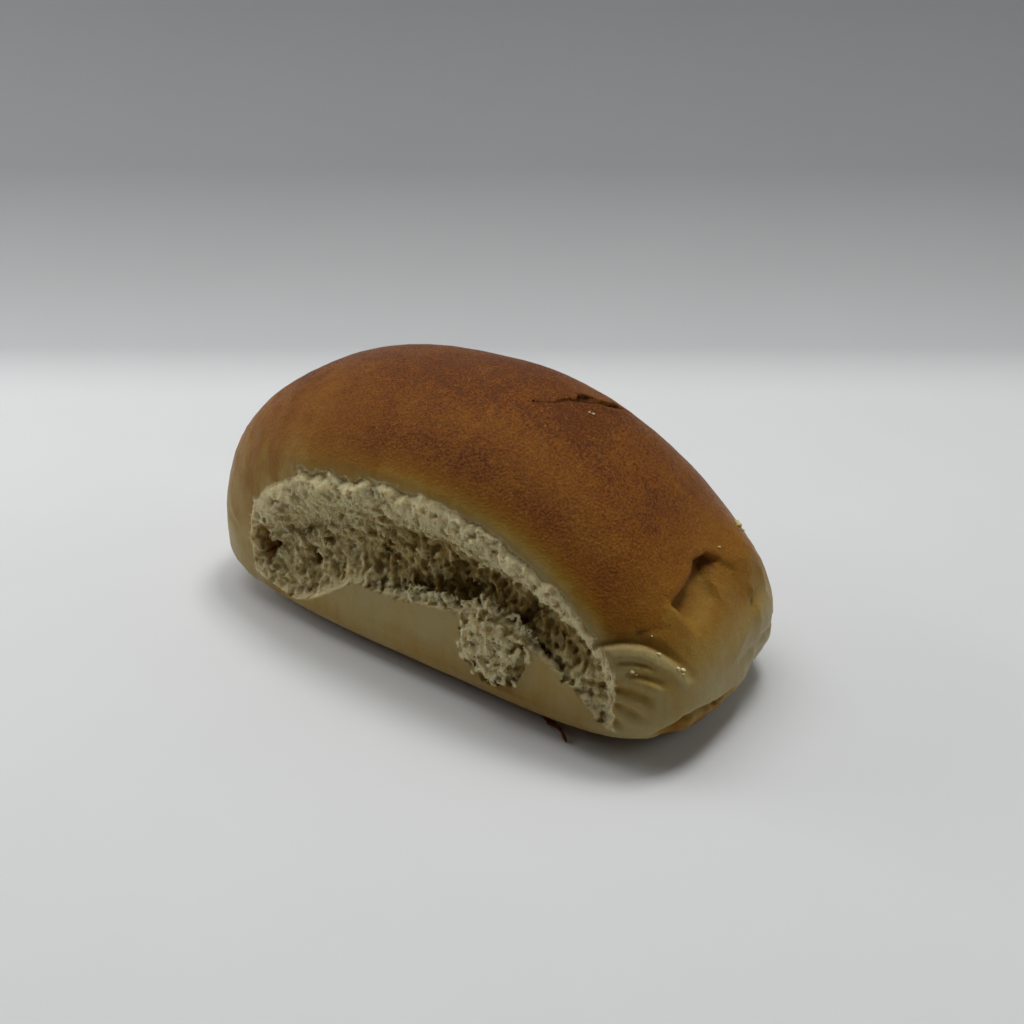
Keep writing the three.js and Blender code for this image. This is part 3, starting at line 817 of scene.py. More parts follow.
def open_patch_pores(dough, tear):
    rng = np.random.default_rng(tear["seed"] + 100)
    face = outer_face(dough, tear["side"])
    patch = tear["patch"]
    for _ in range(tear["patch_pores"]):
        angle = rng.uniform(0, 2 * math.pi)
        share = math.sqrt(rng.uniform(0, 1)) * 0.98
        x = patch[0] + patch[2] * share * math.cos(angle)
        z = patch[1] + patch[3] * share * math.sin(angle)
        radius = min(BUBBLE_LEAST + rng.exponential(0.16), 0.9)
        pore_on_face(dough, face, tear["side"], x, z, radius, rng)


def open_rim_pores(dough, tear):
    rng = np.random.default_rng(tear["seed"] + 150)
    face = outer_face(dough, tear["side"])
    for _ in range(RIM_PORES):
        x = rng.uniform(tear["left"] + 12, tear["right"] - 2)
        rim_height = level_of(tear["rim"], x)
        z = level_of(tear["flap"], x) + rng.uniform(-rim_height, 0.8)
        radius = min(BUBBLE_LEAST + rng.exponential(0.12), 0.7)
        if rim_height > LEAST_RIM:
            pore_on_face(dough, face, tear["side"], x, z, radius, rng)


def add_tatters(dough, tear):
    """Scraps of crumb that cling along the flap's edge."""
    rng = np.random.default_rng(tear["seed"] + 200)
    for _ in range(TATTERS):
        x = rng.uniform(tear["left"] + 22, tear["right"] - 3)
        tall = rng.uniform(0, 1) ** 2
        z = level_of(tear["flap"], x) + 1.6 * tall - 0.5
        radius = rng.uniform(0.3, 0.75) * (1 - 0.4 * tall)
        out = tear["plane"] - rng.uniform(0.3, 1.6)
        stretch = drawn(rng, TATTER_STRETCH)
        if level_of(tear["rim"], x) > LEAST_RIM:
            place = (x, tear["side"] * out, z)
            stamp(dough, place, radius, stretch, rng.uniform(-0.6, 0.6), hollow=False)


# Mesh out of the field

CORNERS = [(dx, dy, dz) for dx in (0, 1) for dy in (0, 1) for dz in (0, 1)]
EDGES = [(a, b) for a in CORNERS for b in CORNERS if sum(b) - sum(a) == 1
         and all(q >= p for p, q in zip(a, b))]


def surface_net(field, axes):
    """Vertices and quads of the surface on which the field is 0."""
    solid = field < 0
    shape = [n - 1 for n in field.shape]
    filled = np.zeros(shape, dtype=np.int8)
    for dx, dy, dz in CORNERS:
        filled += solid[dx:shape[0] + dx, dy:shape[1] + dy, dz:shape[2] + dz]
    cells = np.argwhere((filled > 0) & (filled < 8))
    number = np.full(shape, -1, dtype=np.int64)
    number[cells[:, 0], cells[:, 1], cells[:, 2]] = np.arange(len(cells))
    total = np.zeros((len(cells), 3))
    count = np.zeros(len(cells))
    for a, b in EDGES:
        first = field[cells[:, 0] + a[0], cells[:, 1] + a[1], cells[:, 2] + a[2]]
        second = field[cells[:, 0] + b[0], cells[:, 1] + b[1], cells[:, 2] + b[2]]
        crossed = (first < 0) != (second < 0)
        share = first[crossed] / (first[crossed] - second[crossed])
        total[crossed] += np.array(a) + share[:, None] * np.subtract(b, a)
        count[crossed] += 1
    lows = np.array([axis[0] for axis in axes])
    vertices = lows + VOXEL * (cells + total / count[:, None])
    quads = []
    for axis in range(3):
        ahead = [slice(None)] * 3
        behind = [slice(None)] * 3
        ahead[axis] = slice(1, None)
        behind[axis] = slice(0, -1)
        changes = solid[tuple(behind)] != solid[tuple(ahead)]
        spots = np.argwhere(changes)
        one, two = [other for other in range(3) if other != axis]
        kept = (spots[:, one] > 0) & (spots[:, two] > 0)
        kept &= (spots[:, one] < shape[one]) & (spots[:, two] < shape[two])
        spots = spots[kept]
        ring = []
        for back_one, back_two in ((1, 1), (0, 1), (0, 0), (1, 0)):
            cell = spots.copy()
            cell[:, one] -= back_one
            cell[:, two] -= back_two
            ring.append(number[cell[:, 0], cell[:, 1], cell[:, 2]])
        quad = np.stack(ring, axis=1)
        outward = solid[spots[:, 0], spots[:, 1], spots[:, 2]]
        if axis == 1:
            outward = ~outward
        quad[~outward] = quad[~outward][:, ::-1]
        quads.append(quad)
    return vertices, np.concatenate(quads)


def main_part(vertices, quads):
    """Only the largest connected part, so no scrap or sealed bubble is left."""
    label = np.arange(len(vertices))
    while True:
        before = label.copy()
        lowest = label[quads].min(axis=1)
        for side in range(4):
            np.minimum.at(label, quads[:, side], lowest)
        label = label[label]
        if (label == before).all():
            break
    names, counts = np.unique(label, return_counts=True)
    kept = label == names[counts.argmax()]
    renumbered = np.cumsum(kept) - 1
    quads = quads[kept[quads[:, 0]]]
    return vertices[kept], renumbered[quads]


def to_metres(places):
    return (places - np.array(MIDDLE)) * MM


def mesh_from(name, vertices, faces):
    sides = faces.shape[1]
    mesh = bpy.data.meshes.new(name)
    mesh.vertices.add(len(vertices))
    mesh.vertices.foreach_set("co", vertices.astype(np.float32).ravel())
    mesh.loops.add(faces.size)
    mesh.loops.foreach_set("vertex_index", faces.astype(np.int32).ravel())
    mesh.polygons.add(len(faces))
    mesh.polygons.foreach_set("loop_start", np.arange(0, faces.size, sides, dtype=np.int32))
    mesh.update(calc_edges=True)
    mesh.validate()
    return mesh


def shade_smooth(mesh):
    mesh.polygons.foreach_set("use_smooth", np.ones(len(mesh.polygons), dtype=bool))


def new_object(name, mesh):
    made = bpy.data.objects.new(name, mesh)
    bpy.context.scene.collection.objects.link(made)
    return made


def vertex_places(mesh):
    places = np.empty(len(mesh.vertices) * 3, dtype=np.float32)
    mesh.vertices.foreach_get("co", places)
    return places.reshape(-1, 3).astype(float)


def aim(piece, place, target):
    """Puts a camera or lamp in its place and turns it to its target."""
    piece.location = Vector(place) * MM
    way = Vector(target) - Vector(place)
    piece.rotation_euler = way.to_track_quat("-Z", "Y").to_euler()


def detail_weight(places):
    """1 on plain crust, which may be thinned out, and 0 on torn crumb and other fine forms."""
    x, y, z = places.T
    weight = np.ones(len(places))
    for tear, least in ((FRONT, FINEST), (BACK, 0.25)):
        out = tear["side"] * y
        below_lip, above_flap, from_ends = outline(tear, x, z)
        region = np.minimum(np.minimum(below_lip + 1.5, above_flap + 5.5), from_ends + 1.5)
        fine = smoothstep(0.0, 0.5, region) * smoothstep(tear["plane"] - 10, tear["plane"] - 9, out)
        weight = np.minimum(weight, mix(1.0, least, fine))
    patch = oval_reach(FRONT["patch"], x, z)
    weight = np.where((y < -20) & (patch < 1.2), FINEST, weight)
    crack = to_line(CRACK_LINE, x, y, z)[0]
    rim = to_line(DENT_RIM, x, y, z)[0]
    weight = np.where((crack < 2.2) | (rim < 1.6), FINEST, weight)
    for corners, _, width in WRINKLES + [(FOLD_LINE, 0, 1), (BULGE_EDGE, 0, 1.6)]:
        folds = to_line(corners, x, y, z)[0]
        weight = np.where(folds < 2.5 * width, np.minimum(weight, 0.3), weight)
    return weight


def thin_out(made):
    """Fewer triangles on the plain crust."""
    mesh = made.data
    triangles = 2 * len(mesh.polygons)
    if triangles <= TRIANGLES_KEPT:
        return
    weights = detail_weight(vertex_places(mesh))
    group = made.vertex_groups.new(name="plain")
    for level in range(1, WEIGHT_STEPS + 1):
        chosen = np.nonzero(np.round(weights * WEIGHT_STEPS) == level)[0]
        group.add(chosen.tolist(), level / WEIGHT_STEPS, "REPLACE")
    modifier = made.modifiers.new("thin_out", "DECIMATE")
    modifier.ratio = TRIANGLES_KEPT / triangles
    modifier.vertex_group = group.name
    modifier.vertex_group_factor = 1.0
    bpy.context.view_layer.update()
    evaluated = made.evaluated_get(bpy.context.evaluated_depsgraph_get())
    finished = bpy.data.meshes.new_from_object(evaluated)
    made.modifiers.clear()
    made.vertex_groups.clear()
    made.data = finished


# Baking and other surface values, one number for each vertex

def crumb_share(places):
    """1 where torn crumb shows, 0 on skin."""
    x, y, z = places.T
    skin = body_distance(x, y, z) - skin_offset(x, y, z)
    total = np.zeros(len(places))
    for tear in TEARS:
        below_lip, above_flap, from_ends = outline(tear, x, z)
        behind = tear["plane"] + bulge(x, z) - tear["side"] * y
        region = smoothstep(-0.1, 0.3, tear_share(tear, x, below_lip, above_flap, from_ends))
        rim_height = level_of(tear["rim"], x)
        below_rim = smoothstep(-rim_height + 0.5, -rim_height - 0.1, above_flap)
        on_flap = smoothstep(0.5, 0.2, behind) * below_rim * (along(tear["cave"], x) > LEAST_CAVE)
        torn = region * (1 - on_flap) * smoothstep(-0.1, -0.35, skin)
        offset = oval_reach(tear["patch"], x, z)
        patch = smoothstep(-0.05, -0.25, behind) * smoothstep(1.4, 1.3, offset)
        total = np.maximum(total, np.maximum(torn, patch) * (behind < 14))
    lining = smoothstep(1.05, 0.85, oval_reach(POCKET, x, z)) * (y < -8)
    return total * (1 - lining)


# Browning by the distance above the lip: in the middle of the roll, and towards its ends
MIDDLE_BROWNING = [(0, 0.34), (1, 0.44), (2.25, 0.6), (4, 0.8), (6.5, 0.92), (10, 0.9), (14, 0.86),
                   (22, 1.0)]
RIGHT_BROWNING = [(0, 0.08), (1, 0.18), (2.25, 0.4), (4, 0.66), (6.5, 0.86), (10, 0.84), (15, 0.82),
                  (24, 1.0)]
LEFT_BROWNING = [(0, 0.3), (3, 0.42), (7, 0.54), (12, 0.66), (20, 0.8), (28, 0.96)]

# Browning by height: at the right end, at the left end, and everywhere else
RIGHT_END_BROWNING = [(0, 0.02), (12, 0.02), (16, 0.08), (19.5, 0.21), (23, 0.42), (27, 0.56), (31, 0.67),
                      (36, 0.84), (43, 1.0)]
LEFT_END_BROWNING = [(0, 0.3), (7, 0.05), (17, 0.05), (20.5, 0.26), (25, 0.34), (31, 0.44), (39, 0.58),
                     (47, 0.88)]
CROWN_BROWNING = [(0, 0.88), (42, 0.88), (49, 0.98), (54, 1.2)]

# Smaller places, and how brown they are
GOLDEN_SPOT = (24.2, 8.4, 3.2, 1.4)     # on the front: x, z and half sizes
GOLDEN_SPOT_BROWN = 0.42
LIP_LEFT_BROWN = 0.34
UNDER_FOLD_BROWN = 0.1
SOLE_BROWN = 0.55
POCKET_BROWN = 0.5


def bake_at_tear(brown, tear, x, y, z):
    """Paler towards the lip and on the flap."""
    leftness = smoothstep(-6, -38, x)
    rightness = smoothstep(4, 26, x)
    out = tear["side"] * y
    lip = lip_level(tear, x)
    above_lip = np.hypot(np.maximum(tear["plane"] - out, 0), np.maximum(z - lip, 0))
    margin = level_of(MIDDLE_BROWNING, above_lip)
    margin = mix(margin, level_of(LEFT_BROWNING, above_lip), leftness)
    margin = mix(margin, level_of(RIGHT_BROWNING, above_lip), rightness)
    along_tear = smoothstep(-8, 1, np.minimum(x - tear["left"], tear["right"] - x))
    brown = np.minimum(brown, mix(1.0, margin, along_tear * (out > 0)))
    flap = smoothstep(2.5, 0.8, tear["plane"] - out) * smoothstep(lip, lip - 3, z)
    pale = 0.02 + 0.06 * rightness + 0.14 * smoothstep(14, 7, z) + 0.2 * smoothstep(6, 3, z)
    return mix(brown, pale, flap * along_tear)


def bake_front_marks(brown, x, y, z):
    """The tear's lower edge at the left, and a golden spot below the patch of crumb."""
    lip_left = smoothstep(-24, -30, x) * smoothstep(9, 7, z) * smoothstep(-12, -20, y)
    brown = np.maximum(brown, LIP_LEFT_BROWN * lip_left)
    spot = smoothstep(1.2, 0.4, oval_reach(GOLDEN_SPOT, x, z))
    return np.maximum(brown, GOLDEN_SPOT_BROWN * spot * (y < -20))


def bake_right_end(brown, x, y, z):
    """Paler downwards, under the fold and on ridges, and darker in the wrinkles' valleys as painted shade.
    """
    rising = z - 0.1 * np.maximum(y + 6, 0)
    right_end = level_of(RIGHT_END_BROWNING, rising)
    brown = mix(brown, np.minimum(brown, right_end), smoothstep(39, 47, x))
    height, _ = over_line(FOLD_LINE, x, y, z)
    under_fold = smoothstep(1.7, 0.9, height) * smoothstep(13, 8, np.abs(height))
    brown = mix(brown, np.minimum(brown, UNDER_FOLD_BROWN), under_fold * smoothstep(42, 45, x))
    # Painted shade in the valleys of the wrinkles
    valley = near(WRINKLED, wrinkle_offset, x, y, z)
    brown = brown + 0.3 * np.clip(-valley, 0, 1)
    ridge = to_line(DENT_LOWER_RIDGE, x, y, z)[0]
    brown = brown - 0.25 * hump(height, 0.9) - 0.16 * hump(ridge, 1.3)
    return brown - 0.09 * near(DENT_FLOOR, dent_floor, x, y, z)


def bake_left_end(brown, x, y, z):
    """Paler downwards, with slanted streaks."""
    left_end = level_of(LEFT_END_BROWNING, z)
    brown = mix(brown, np.minimum(brown, left_end), smoothstep(-34, -43, x))
    slanted = x + 0.4 * z
    streaks = noise(slanted, y, z, (1.5, 1.5, 14.0), 3) + 0.5 * noise(slanted, y, z, (0.8, 0.8, 9.0), 4)
    return brown + 0.16 * streaks * smoothstep(-14, -30, x) * smoothstep(6, -8, y)


def bake_sole(brown, x, y, z):
    sole = smoothstep(3.6, 2.2, z) * smoothstep(-24.5, -22, y)
    brown = mix(brown, SOLE_BROWN, sole)
    height, share = below_bulge(x, y, z)
    side = 0.45 + 0.3 * noise(x, y, z, 2.2, 3)
    return mix(brown, side, share * smoothstep(0.1, -0.5, height))


def bake_share(places):
    """How brown the skin is: 0 pale, 0.5 gold, 1 dark."""
    x, y, z = places.T
    brown = level_of(CROWN_BROWNING, z)
    for tear in TEARS:
        brown = bake_at_tear(brown, tear, x, y, z)
    for bake in (bake_front_marks, bake_right_end, bake_left_end, bake_sole):
        brown = bake(brown, x, y, z)
    return np.where((y < -8) & (oval_reach(POCKET, x, z) < 1.6), POCKET_BROWN, brown)


def shade_and_spot_share(places):
    """Painted shade in the crack, the slit, under the dent's rim and low on the front right, with the
    crust's own dark spots: 1 where darkest.
    """
    x, y, z = places.T
    inside = -(body_distance(x, y, z) - 0.3 * noise(x, y, z, 17.0, 0))
    crack = to_line(CRACK_LINE, x, y, z)[0]
    # Painted shade deep in the crack
    crack_shade = smoothstep(2.2, 1.4, crack) * smoothstep(0.15, 0.7, inside)
    slit = to_line(SLIT_LINE, x, y, z)[0]
    rim = to_line(DENT_RIM, x, y, z)[0]
    # Painted shade under the dent's rim
    dent_rim_shade = smoothstep(3.4, 1.4, rim) * smoothstep(0.3, 1.2, inside)
    # Painted shade in the slit; the dark spots are the crust's own colour
    slit_shade_and_spots = 0.35 * smoothstep(0.7, 0.3, slit)
    for place, radius, dark in DARK_SPOTS:
        slit_shade_and_spots = slit_shade_and_spots + dark * smoothstep(radius, 0.4 * radius, gap_to(place, x, y, z))
    # Painted shade low on the front right, where little light falls
    low = np.maximum(smoothstep(16, 8, z), smoothstep(20, 24, z))
    right_front_shade = smoothstep(0, 22, x) * smoothstep(52, 45, x) * smoothstep(-14, -22, y) * low
    return np.clip(crack_shade + slit_shade_and_spots + 0.8 * dent_rim_shade + 0.26 * right_front_shade, 0, 1)


def crumb_tone(places):
    """Painted shade of the torn crumb: 1 on its face, less deep in the wall and in its pores, hollows and
    the groove under the lip.
    """
    x, y, z = places.T
    total = np.ones(len(places))
    for tear in TEARS:
        out = tear["side"] * y
        below_lip, above_flap, _ = outline(tear, x, z)
        depth = wall_depth(tear, x, z, below_lip, above_flap)
        depth = depth + crumb_relief(tear, x, y, z, below_lip)
        behind = tear["plane"] - out
        # Painted shade: darker deeper behind the face, in the pores and in the hollows
        pit_shade = smoothstep(0.05, 1.0, behind - depth)
        dark = 0.6 * np.minimum(hollow_depth(tear, x, z) / 3, 1)
        tone = 1 - 0.5 * smoothstep(0.5, 8.5, behind) - 0.36 * pit_shade - dark
        # Painted shade low on the front wall, darker towards its right
        if tear is FRONT:
            narrow = narrowing(x)
            shaded = smoothstep(4 * narrow, 8 * narrow, below_lip) * smoothstep(-20, 5, x)
            shaded = shaded * smoothstep(46, 38, x)
            shade = mix(0.4, 0.58, smoothstep(24, 32, x))
            tone = tone - shade * shaded * smoothstep(0.5, 2.0, behind)
        # Painted shade in the groove under the lip
        groove = 0.3 * hump(below_lip - 0.4, 0.6)
        total = np.where(out > 8, np.maximum(tone - groove, 0), total)
    return total


def add_value(mesh, name, values):
    attribute = mesh.attributes.new(name, "FLOAT", "POINT")
    attribute.data.foreach_set("value", values.astype(np.float32))


def field_and_slope(places):
    x, y, z = places.T
    value = roll_field(x, y, z)
    slope = np.stack(slopes_of(roll_field, value, FIELD_STEP, x, y, z), axis=1)
    return value, slope, np.maximum(np.linalg.norm(slope, axis=1), 0.3)


def settle_on_skin(places, crumb):
    """Puts plain crust exactly on the smooth skin."""
    plain = np.nonzero(crumb < 0.01)[0]
    for _ in range(2):
        value, slope, length = field_and_slope(places[plain])
        move = -(value / length ** 2)[:, None] * slope
        size = np.linalg.norm(move, axis=1)
        move[size > 0.25] = 0
        places[plain] += move
    return places


# Loose crumbs on the crust: place near the surface, and radius

LOOSE_CRUMBS = [
    ((50.5, -19.7, 22.6), 0.42), ((53.3, -17.9, 20.2), 0.36), ((54.0, -16.9, 19.8), 0.46),
    ((54.1, -17.3, 19.2), 0.3), ((48.2, -23.8, 20.5), 0.42), ((48.6, -23.5, 20.2), 0.3),
    ((23.3, 2.3, 50.6), 0.36), ((22.7, 2.0, 50.9), 0.26), ((48.7, 3.4, 31.2), 0.3),
    ((46.8, 15.4, 30.2), 0.5), ((47.4, 14.2, 30.4), 0.6), ((47.0, 14.9, 30.9), 0.4),
    ((47.9, 14.4, 29.3), 0.36), ((48.6, -19.1, 26.6), 0.2), ((46.6, 16.2, 30.6), 0.4),
]
CRUMB_STEPS = 2
CRUMB_SIZE = 0.8

# Flake of crust that sticks out from under the front edge: x, y, z, half width
FLAKE = [
    (29.0, -20.4, 1.1, 0.3), (30.4, -21.0, 1.2, 0.6), (31.6, -21.7, 1.3, 0.8),
    (32.6, -22.2, 1.6, 0.45), (33.8, -22.6, 1.9, 0.35), (34.8, -23.0, 1.7, 0.35),
    (35.6, -23.5, 1.3, 0.45), (36.4, -24.0, 1.1, 0.12),
]
FLAKE_THICKNESS = 0.4
FLAKE_STATIONS = 26
FLAKE_SIDES = 10


def on_surface(place):
    """The nearest point of the smooth roll, and the way out of it."""
    point = np.array([place], dtype=float)
    for _ in range(12):
        value, slope, length = field_and_slope(point)
        point = point - 0.8 * (value / length ** 2)[:, None] * slope
    return point[0], slope[0] / length[0]


def crumb_lump(place, radius, seed):
    """One small rough crumb, half sunk in the surface."""
    middle, outward = on_surface(place)
    ball = bmesh.new()
    bmesh.ops.create_icosphere(ball, subdivisions=CRUMB_STEPS, radius=1.0)
    corners = np.array([vertex.co[:] for vertex in ball.verts])
    faces = np.array([[vertex.index for vertex in face.verts] for face in ball.faces])
    ball.free()
    rough = noise(*(corners.T + 3.7 * seed), 0.9, seed)
    rough = rough + 0.6 * noise(*(corners.T - 2.9 * seed), 0.45, seed + 1)
    corners = corners * (1 + 0.45 * rough)[:, None] * np.array((1.2, 0.9, 0.85)) * radius
    return middle + outward * 0.35 * radius + corners, faces


def joined(parts):
    """One list of corners and one of faces out of several."""
    corners = np.concatenate([part[0] for part in parts])
    starts = np.cumsum([0] + [len(part[0]) for part in parts])
    faces = np.concatenate([part[1] + start for part, start in zip(parts, starts)])
    return corners, faces


def dressed(name, corners, faces, slot, material, **values):
    """A piece of bread with the same crumb, bake, painted skin shade with dark spots, and crumb lightness
    all over.
    """
    mesh = mesh_from(name, to_metres(corners), faces)
    for value_name in ("crumb", "bake", "fold", "tone"):
        add_value(mesh, value_name, np.full(len(mesh.vertices), values.get(value_name, 0.0)))
    mesh.materials.append(bpy.data.materials[material])
    shade_smooth(mesh)
    piece = new_object(name, mesh)
    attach(piece, "root")


# Fuzz: short curled fibres that stand on the torn crumb

FUZZ_FRONT = 13000
FUZZ_BACK = 5000
FUZZ_LONG = (0.2, 0.6)
FUZZ_THICK = (0.05, 0.1)
FUZZ_CURL = 0.16
THIRDS = (0, 2 * math.pi / 3, 4 * math.pi / 3)
FIBRE_CORNERS = 2 * len(THIRDS) + 1     # a foot and a middle of three each, and a tip
FIBRE_FACES = [(0, 2, 1), (3, 4, 6), (4, 5, 6), (5, 3, 6)]
FIBRE_FACES += [(0, 1, 4), (0, 4, 3), (1, 2, 5), (1, 5, 4), (2, 0, 3), (2, 3, 5)]


def to_unit(ways):
    return ways / np.maximum(np.linalg.norm(ways, axis=1), 1e-6)[:, None]


def add_fuzz(name, places, outward, tone, chosen, seed):
    """Fibres with a sunken three-cornered foot, a bent middle and a pointed tip."""
    rng = np.random.default_rng(seed)
    foot = places[chosen]
    out = outward[chosen]
    wander = rng.normal(0, 1, foot.shape) * (1.0, 1.0, 1.5)
    way = to_unit(to_unit(wander) + out * rng.uniform(0.1, 0.9, (len(foot), 1)))
    across = to_unit(np.cross(way, rng.normal(0, 1, foot.shape)))
    other = np.cross(way, across)
    length = rng.uniform(*FUZZ_LONG, (len(foot), 1))
    thick = rng.uniform(*FUZZ_THICK, (len(foot), 1))
    middle = foot + way * 0.5 * length + across * FUZZ_CURL * length
    corners = []
    for centre, size in ((foot - 0.15 * out, 1.2), (middle, 1.0)):
        for turn in THIRDS:
            corners.append(centre + size * thick * (math.cos(turn) * across + math.sin(turn) * other))
    corners.append(foot + way * length)
    corners = np.stack(corners, axis=1)
    faces = np.array(FIBRE_FACES)[None] + FIBRE_CORNERS * np.arange(len(foot))[:, None, None]
    # Each fibre copies the crumb's painted shade at its foot, a little lighter
    tones = np.repeat(tone[chosen] + 0.05, FIBRE_CORNERS)
    dressed(name, corners.reshape(-1, 3), faces.reshape(-1, 3), "crumb", "loose_crumb", tone=tones)


def make_fuzz(roll):
    mesh = roll.data
    count = len(mesh.vertices)
    places = vertex_places(mesh) / MM + np.array(MIDDLE)
    outward = np.empty(count * 3, dtype=np.float32)
    mesh.vertex_normals.foreach_get("vector", outward)
    values = {}
    for value_name in ("crumb", "tone"):
        values[value_name] = np.empty(count, dtype=np.float32)
        mesh.attributes[value_name].data.foreach_get("value", values[value_name])
    torn = values["crumb"] > 0.7
    rng = np.random.default_rng(5)
    fuzz = (("crumb_fuzz_front", FRONT, FUZZ_FRONT), ("crumb_fuzz_back", BACK, FUZZ_BACK))
    for name, tear, most in fuzz:
        found = np.nonzero(torn & (places[:, 1] * tear["side"] > 8))[0]
        found = found[rng.uniform(0, 1, len(found)) < values["tone"][found]]
        chosen = rng.permutation(found)[:most]
        add_fuzz(name, places, outward.reshape(-1, 3), values["tone"], chosen, tear["seed"])


def flake_shape():
    """A thin ragged strip, swept along its middle line and closed at both ends."""
    slit_shade_and_spots = np.linspace(0, len(FLAKE) - 1, FLAKE_STATIONS)
    x, y, z, half = (np.interp(slit_shade_and_spots, range(len(FLAKE)), column) for column in zip(*FLAKE))
    half = half * (1 + 0.3 * noise(x, y, z, 0.8, 2))
    ahead = np.stack([np.gradient(x), np.gradient(y)], axis=1)
    ahead /= np.linalg.norm(ahead, axis=1)[:, None]
    corners = []
    for side in range(FLAKE_SIDES):
        turn = 2 * math.pi * side / FLAKE_SIDES
        out = half * math.cos(turn)
        rise = 0.5 * FLAKE_THICKNESS * math.sin(turn) + 0.25 * (out / half) ** 2 * half
        corners.append(np.stack([x - ahead[:, 1] * out, y + ahead[:, 0] * out, z + rise], axis=1))
    corners = np.stack(corners, axis=1).reshape(-1, 3)
    faces = []
    for station in range(FLAKE_STATIONS - 1):
        for side in range(FLAKE_SIDES):
            one = station * FLAKE_SIDES + side
            two = station * FLAKE_SIDES + (side + 1) % FLAKE_SIDES
            faces += [(one, one + FLAKE_SIDES, two), (two, one + FLAKE_SIDES, two + FLAKE_SIDES)]
    last = (FLAKE_STATIONS - 1) * FLAKE_SIDES
    for side in range(1, FLAKE_SIDES - 1):
        faces.append((0, side, side + 1))
        faces.append((last, last + side + 1, last + side))
    return corners, np.array(faces)


def make_loose_bits():
    lumps = []
    for number, (place, radius) in enumerate(LOOSE_CRUMBS):
        lumps.append(crumb_lump(place, CRUMB_SIZE * radius, number))
    dressed("loose_crumbs", *joined(lumps), "crumb", "loose_crumb", tone=0.6)
    dressed("crust_flake", *flake_shape(), "crust", "bread", bake=0.85)


# Materials

def node(tree, kind, **settings):
    made = tree.nodes.new(kind)
    for name, value in settings.items():
        setattr(made, name, value)
    return made


def set_inputs(made, **values):
    for name, value in values.items():
        made.inputs[name.replace("_", " ")].default_value = value


def link(tree, source, target):
    tree.links.new(source, target)


def new_material(name):
    material = bpy.data.materials.new(name)
    material.use_nodes = True
    tree = material.node_tree
    shader = tree.nodes["Principled BSDF"]
    return material, tree, shader


def mapped(tree, size):
    """Object coordinates, scaled so that 1 is this size in millimetres."""
    coordinates = node(tree, "ShaderNodeTexCoord")
    mapping = node(tree, "ShaderNodeMapping")
    mapping.inputs["Scale"].default_value = [1 / (MM * one) for one in as_three(size)]
    link(tree, coordinates.outputs["Object"], mapping.inputs["Vector"])
    return mapping.outputs["Vector"]


def noise_texture(tree, size, detail=3.0, roughness=0.6, distortion=0.0):
    texture = node(tree, "ShaderNodeTexNoise")
    set_inputs(texture, Scale=1.0, Detail=detail, Roughness=roughness, Distortion=distortion)
    link(tree, mapped(tree, size), texture.inputs["Vector"])
    return texture.outputs["Fac"]


def value_of(tree, name):
    return node(tree, "ShaderNodeAttribute", attribute_name=name).outputs["Fac"]


def fill(tree, sockets, values):
    """Gives each socket its number or colour, or links it to another node."""
    for socket, value in zip(sockets, values):
        if isinstance(value, (int, float)):
            socket.default_value = value
        elif isinstance(value, tuple):
            socket.default_value = (*value, 1)
        else:
            link(tree, value, socket)


def math_node(tree, operation, first, second):
    made = node(tree, "ShaderNodeMath", operation=operation)
    fill(tree, made.inputs[:2], (first, second))
    return made.outputs["Value"]


def spread(tree, value, low, high, to_low=0.0, to_high=1.0):
    made = node(tree, "ShaderNodeMapRange")
    set_inputs(made, From_Min=low, From_Max=high, To_Min=to_low, To_Max=to_high)
    link(tree, value, made.inputs["Value"])
    return made.outputs["Result"]


def ramp(tree, value, stops):
    made = node(tree, "ShaderNodeValToRGB")
    elements = made.color_ramp.elements
    while len(elements) < len(stops):
        elements.new(0.5)
    for element, (position, colour) in zip(elements, stops):
        element.position = position
        element.color = (*colour, 1)
    link(tree, value, made.inputs["Fac"])
    return made.outputs["Color"]


def mixed(tree, share, first, second, blend="MIX"):
    made = node(tree, "ShaderNodeMix", data_type="RGBA", blend_type=blend)
    fill(tree, [made.inputs[0], *made.inputs[6:8]], (share, first, second))
    return made.outputs[2]


def bump(tree, height, strength, distance, below=None):
    made = node(tree, "ShaderNodeBump")
    set_inputs(made, Strength=strength, Distance=distance * MM)
    link(tree, height, made.inputs["Height"])
    if below is not None:
        link(tree, below, made.inputs["Normal"])
    return made.outputs["Normal"]


CRUST_STOPS = [
    (0.0, (0.36, 0.28, 0.115)),
    (0.2, (0.34, 0.22, 0.055)),
    (0.4, (0.29, 0.155, 0.022)),
    (0.6, (0.25, 0.10, 0.008)),
    (0.8, (0.205, 0.068, 0.004)),
    (0.92, (0.172, 0.051, 0.004)),
    (1.0, (0.115, 0.03, 0.003)),
]
# Colour of painted shade in the crack, the slit, under the dent's rim and low on the front right, and of
# the crust's own dark spots
DARK_SHADE_AND_SPOT = (0.055, 0.014, 0.002)
# Pale specks of blistered crust, partly painted glints
PALE_SPECK_AND_GLINT = (0.42, 0.22, 0.07)


def grey(tree, value):
    made = node(tree, "ShaderNodeCombineColor")
    for socket in ("Red", "Green", "Blue"):
        link(tree, value, made.inputs[socket])
    return made.outputs["Color"]


def cells(tree, size):
    """0 in the middle of small cells, about 1 between them."""
    made = node(tree, "ShaderNodeTexVoronoi", feature="F1")
    set_inputs(made, Scale=1.0, Randomness=1.0)
    link(tree, mapped(tree, size), made.inputs["Vector"])
    return made.outputs["Distance"]


def grain_and_glint_share(tree, bake):
    """The browner the crust, the grainier it looks; part of this grain is painted glints and shade."""
    return spread(tree, bake, 0.5, 1.0, 0.08, 1.0)


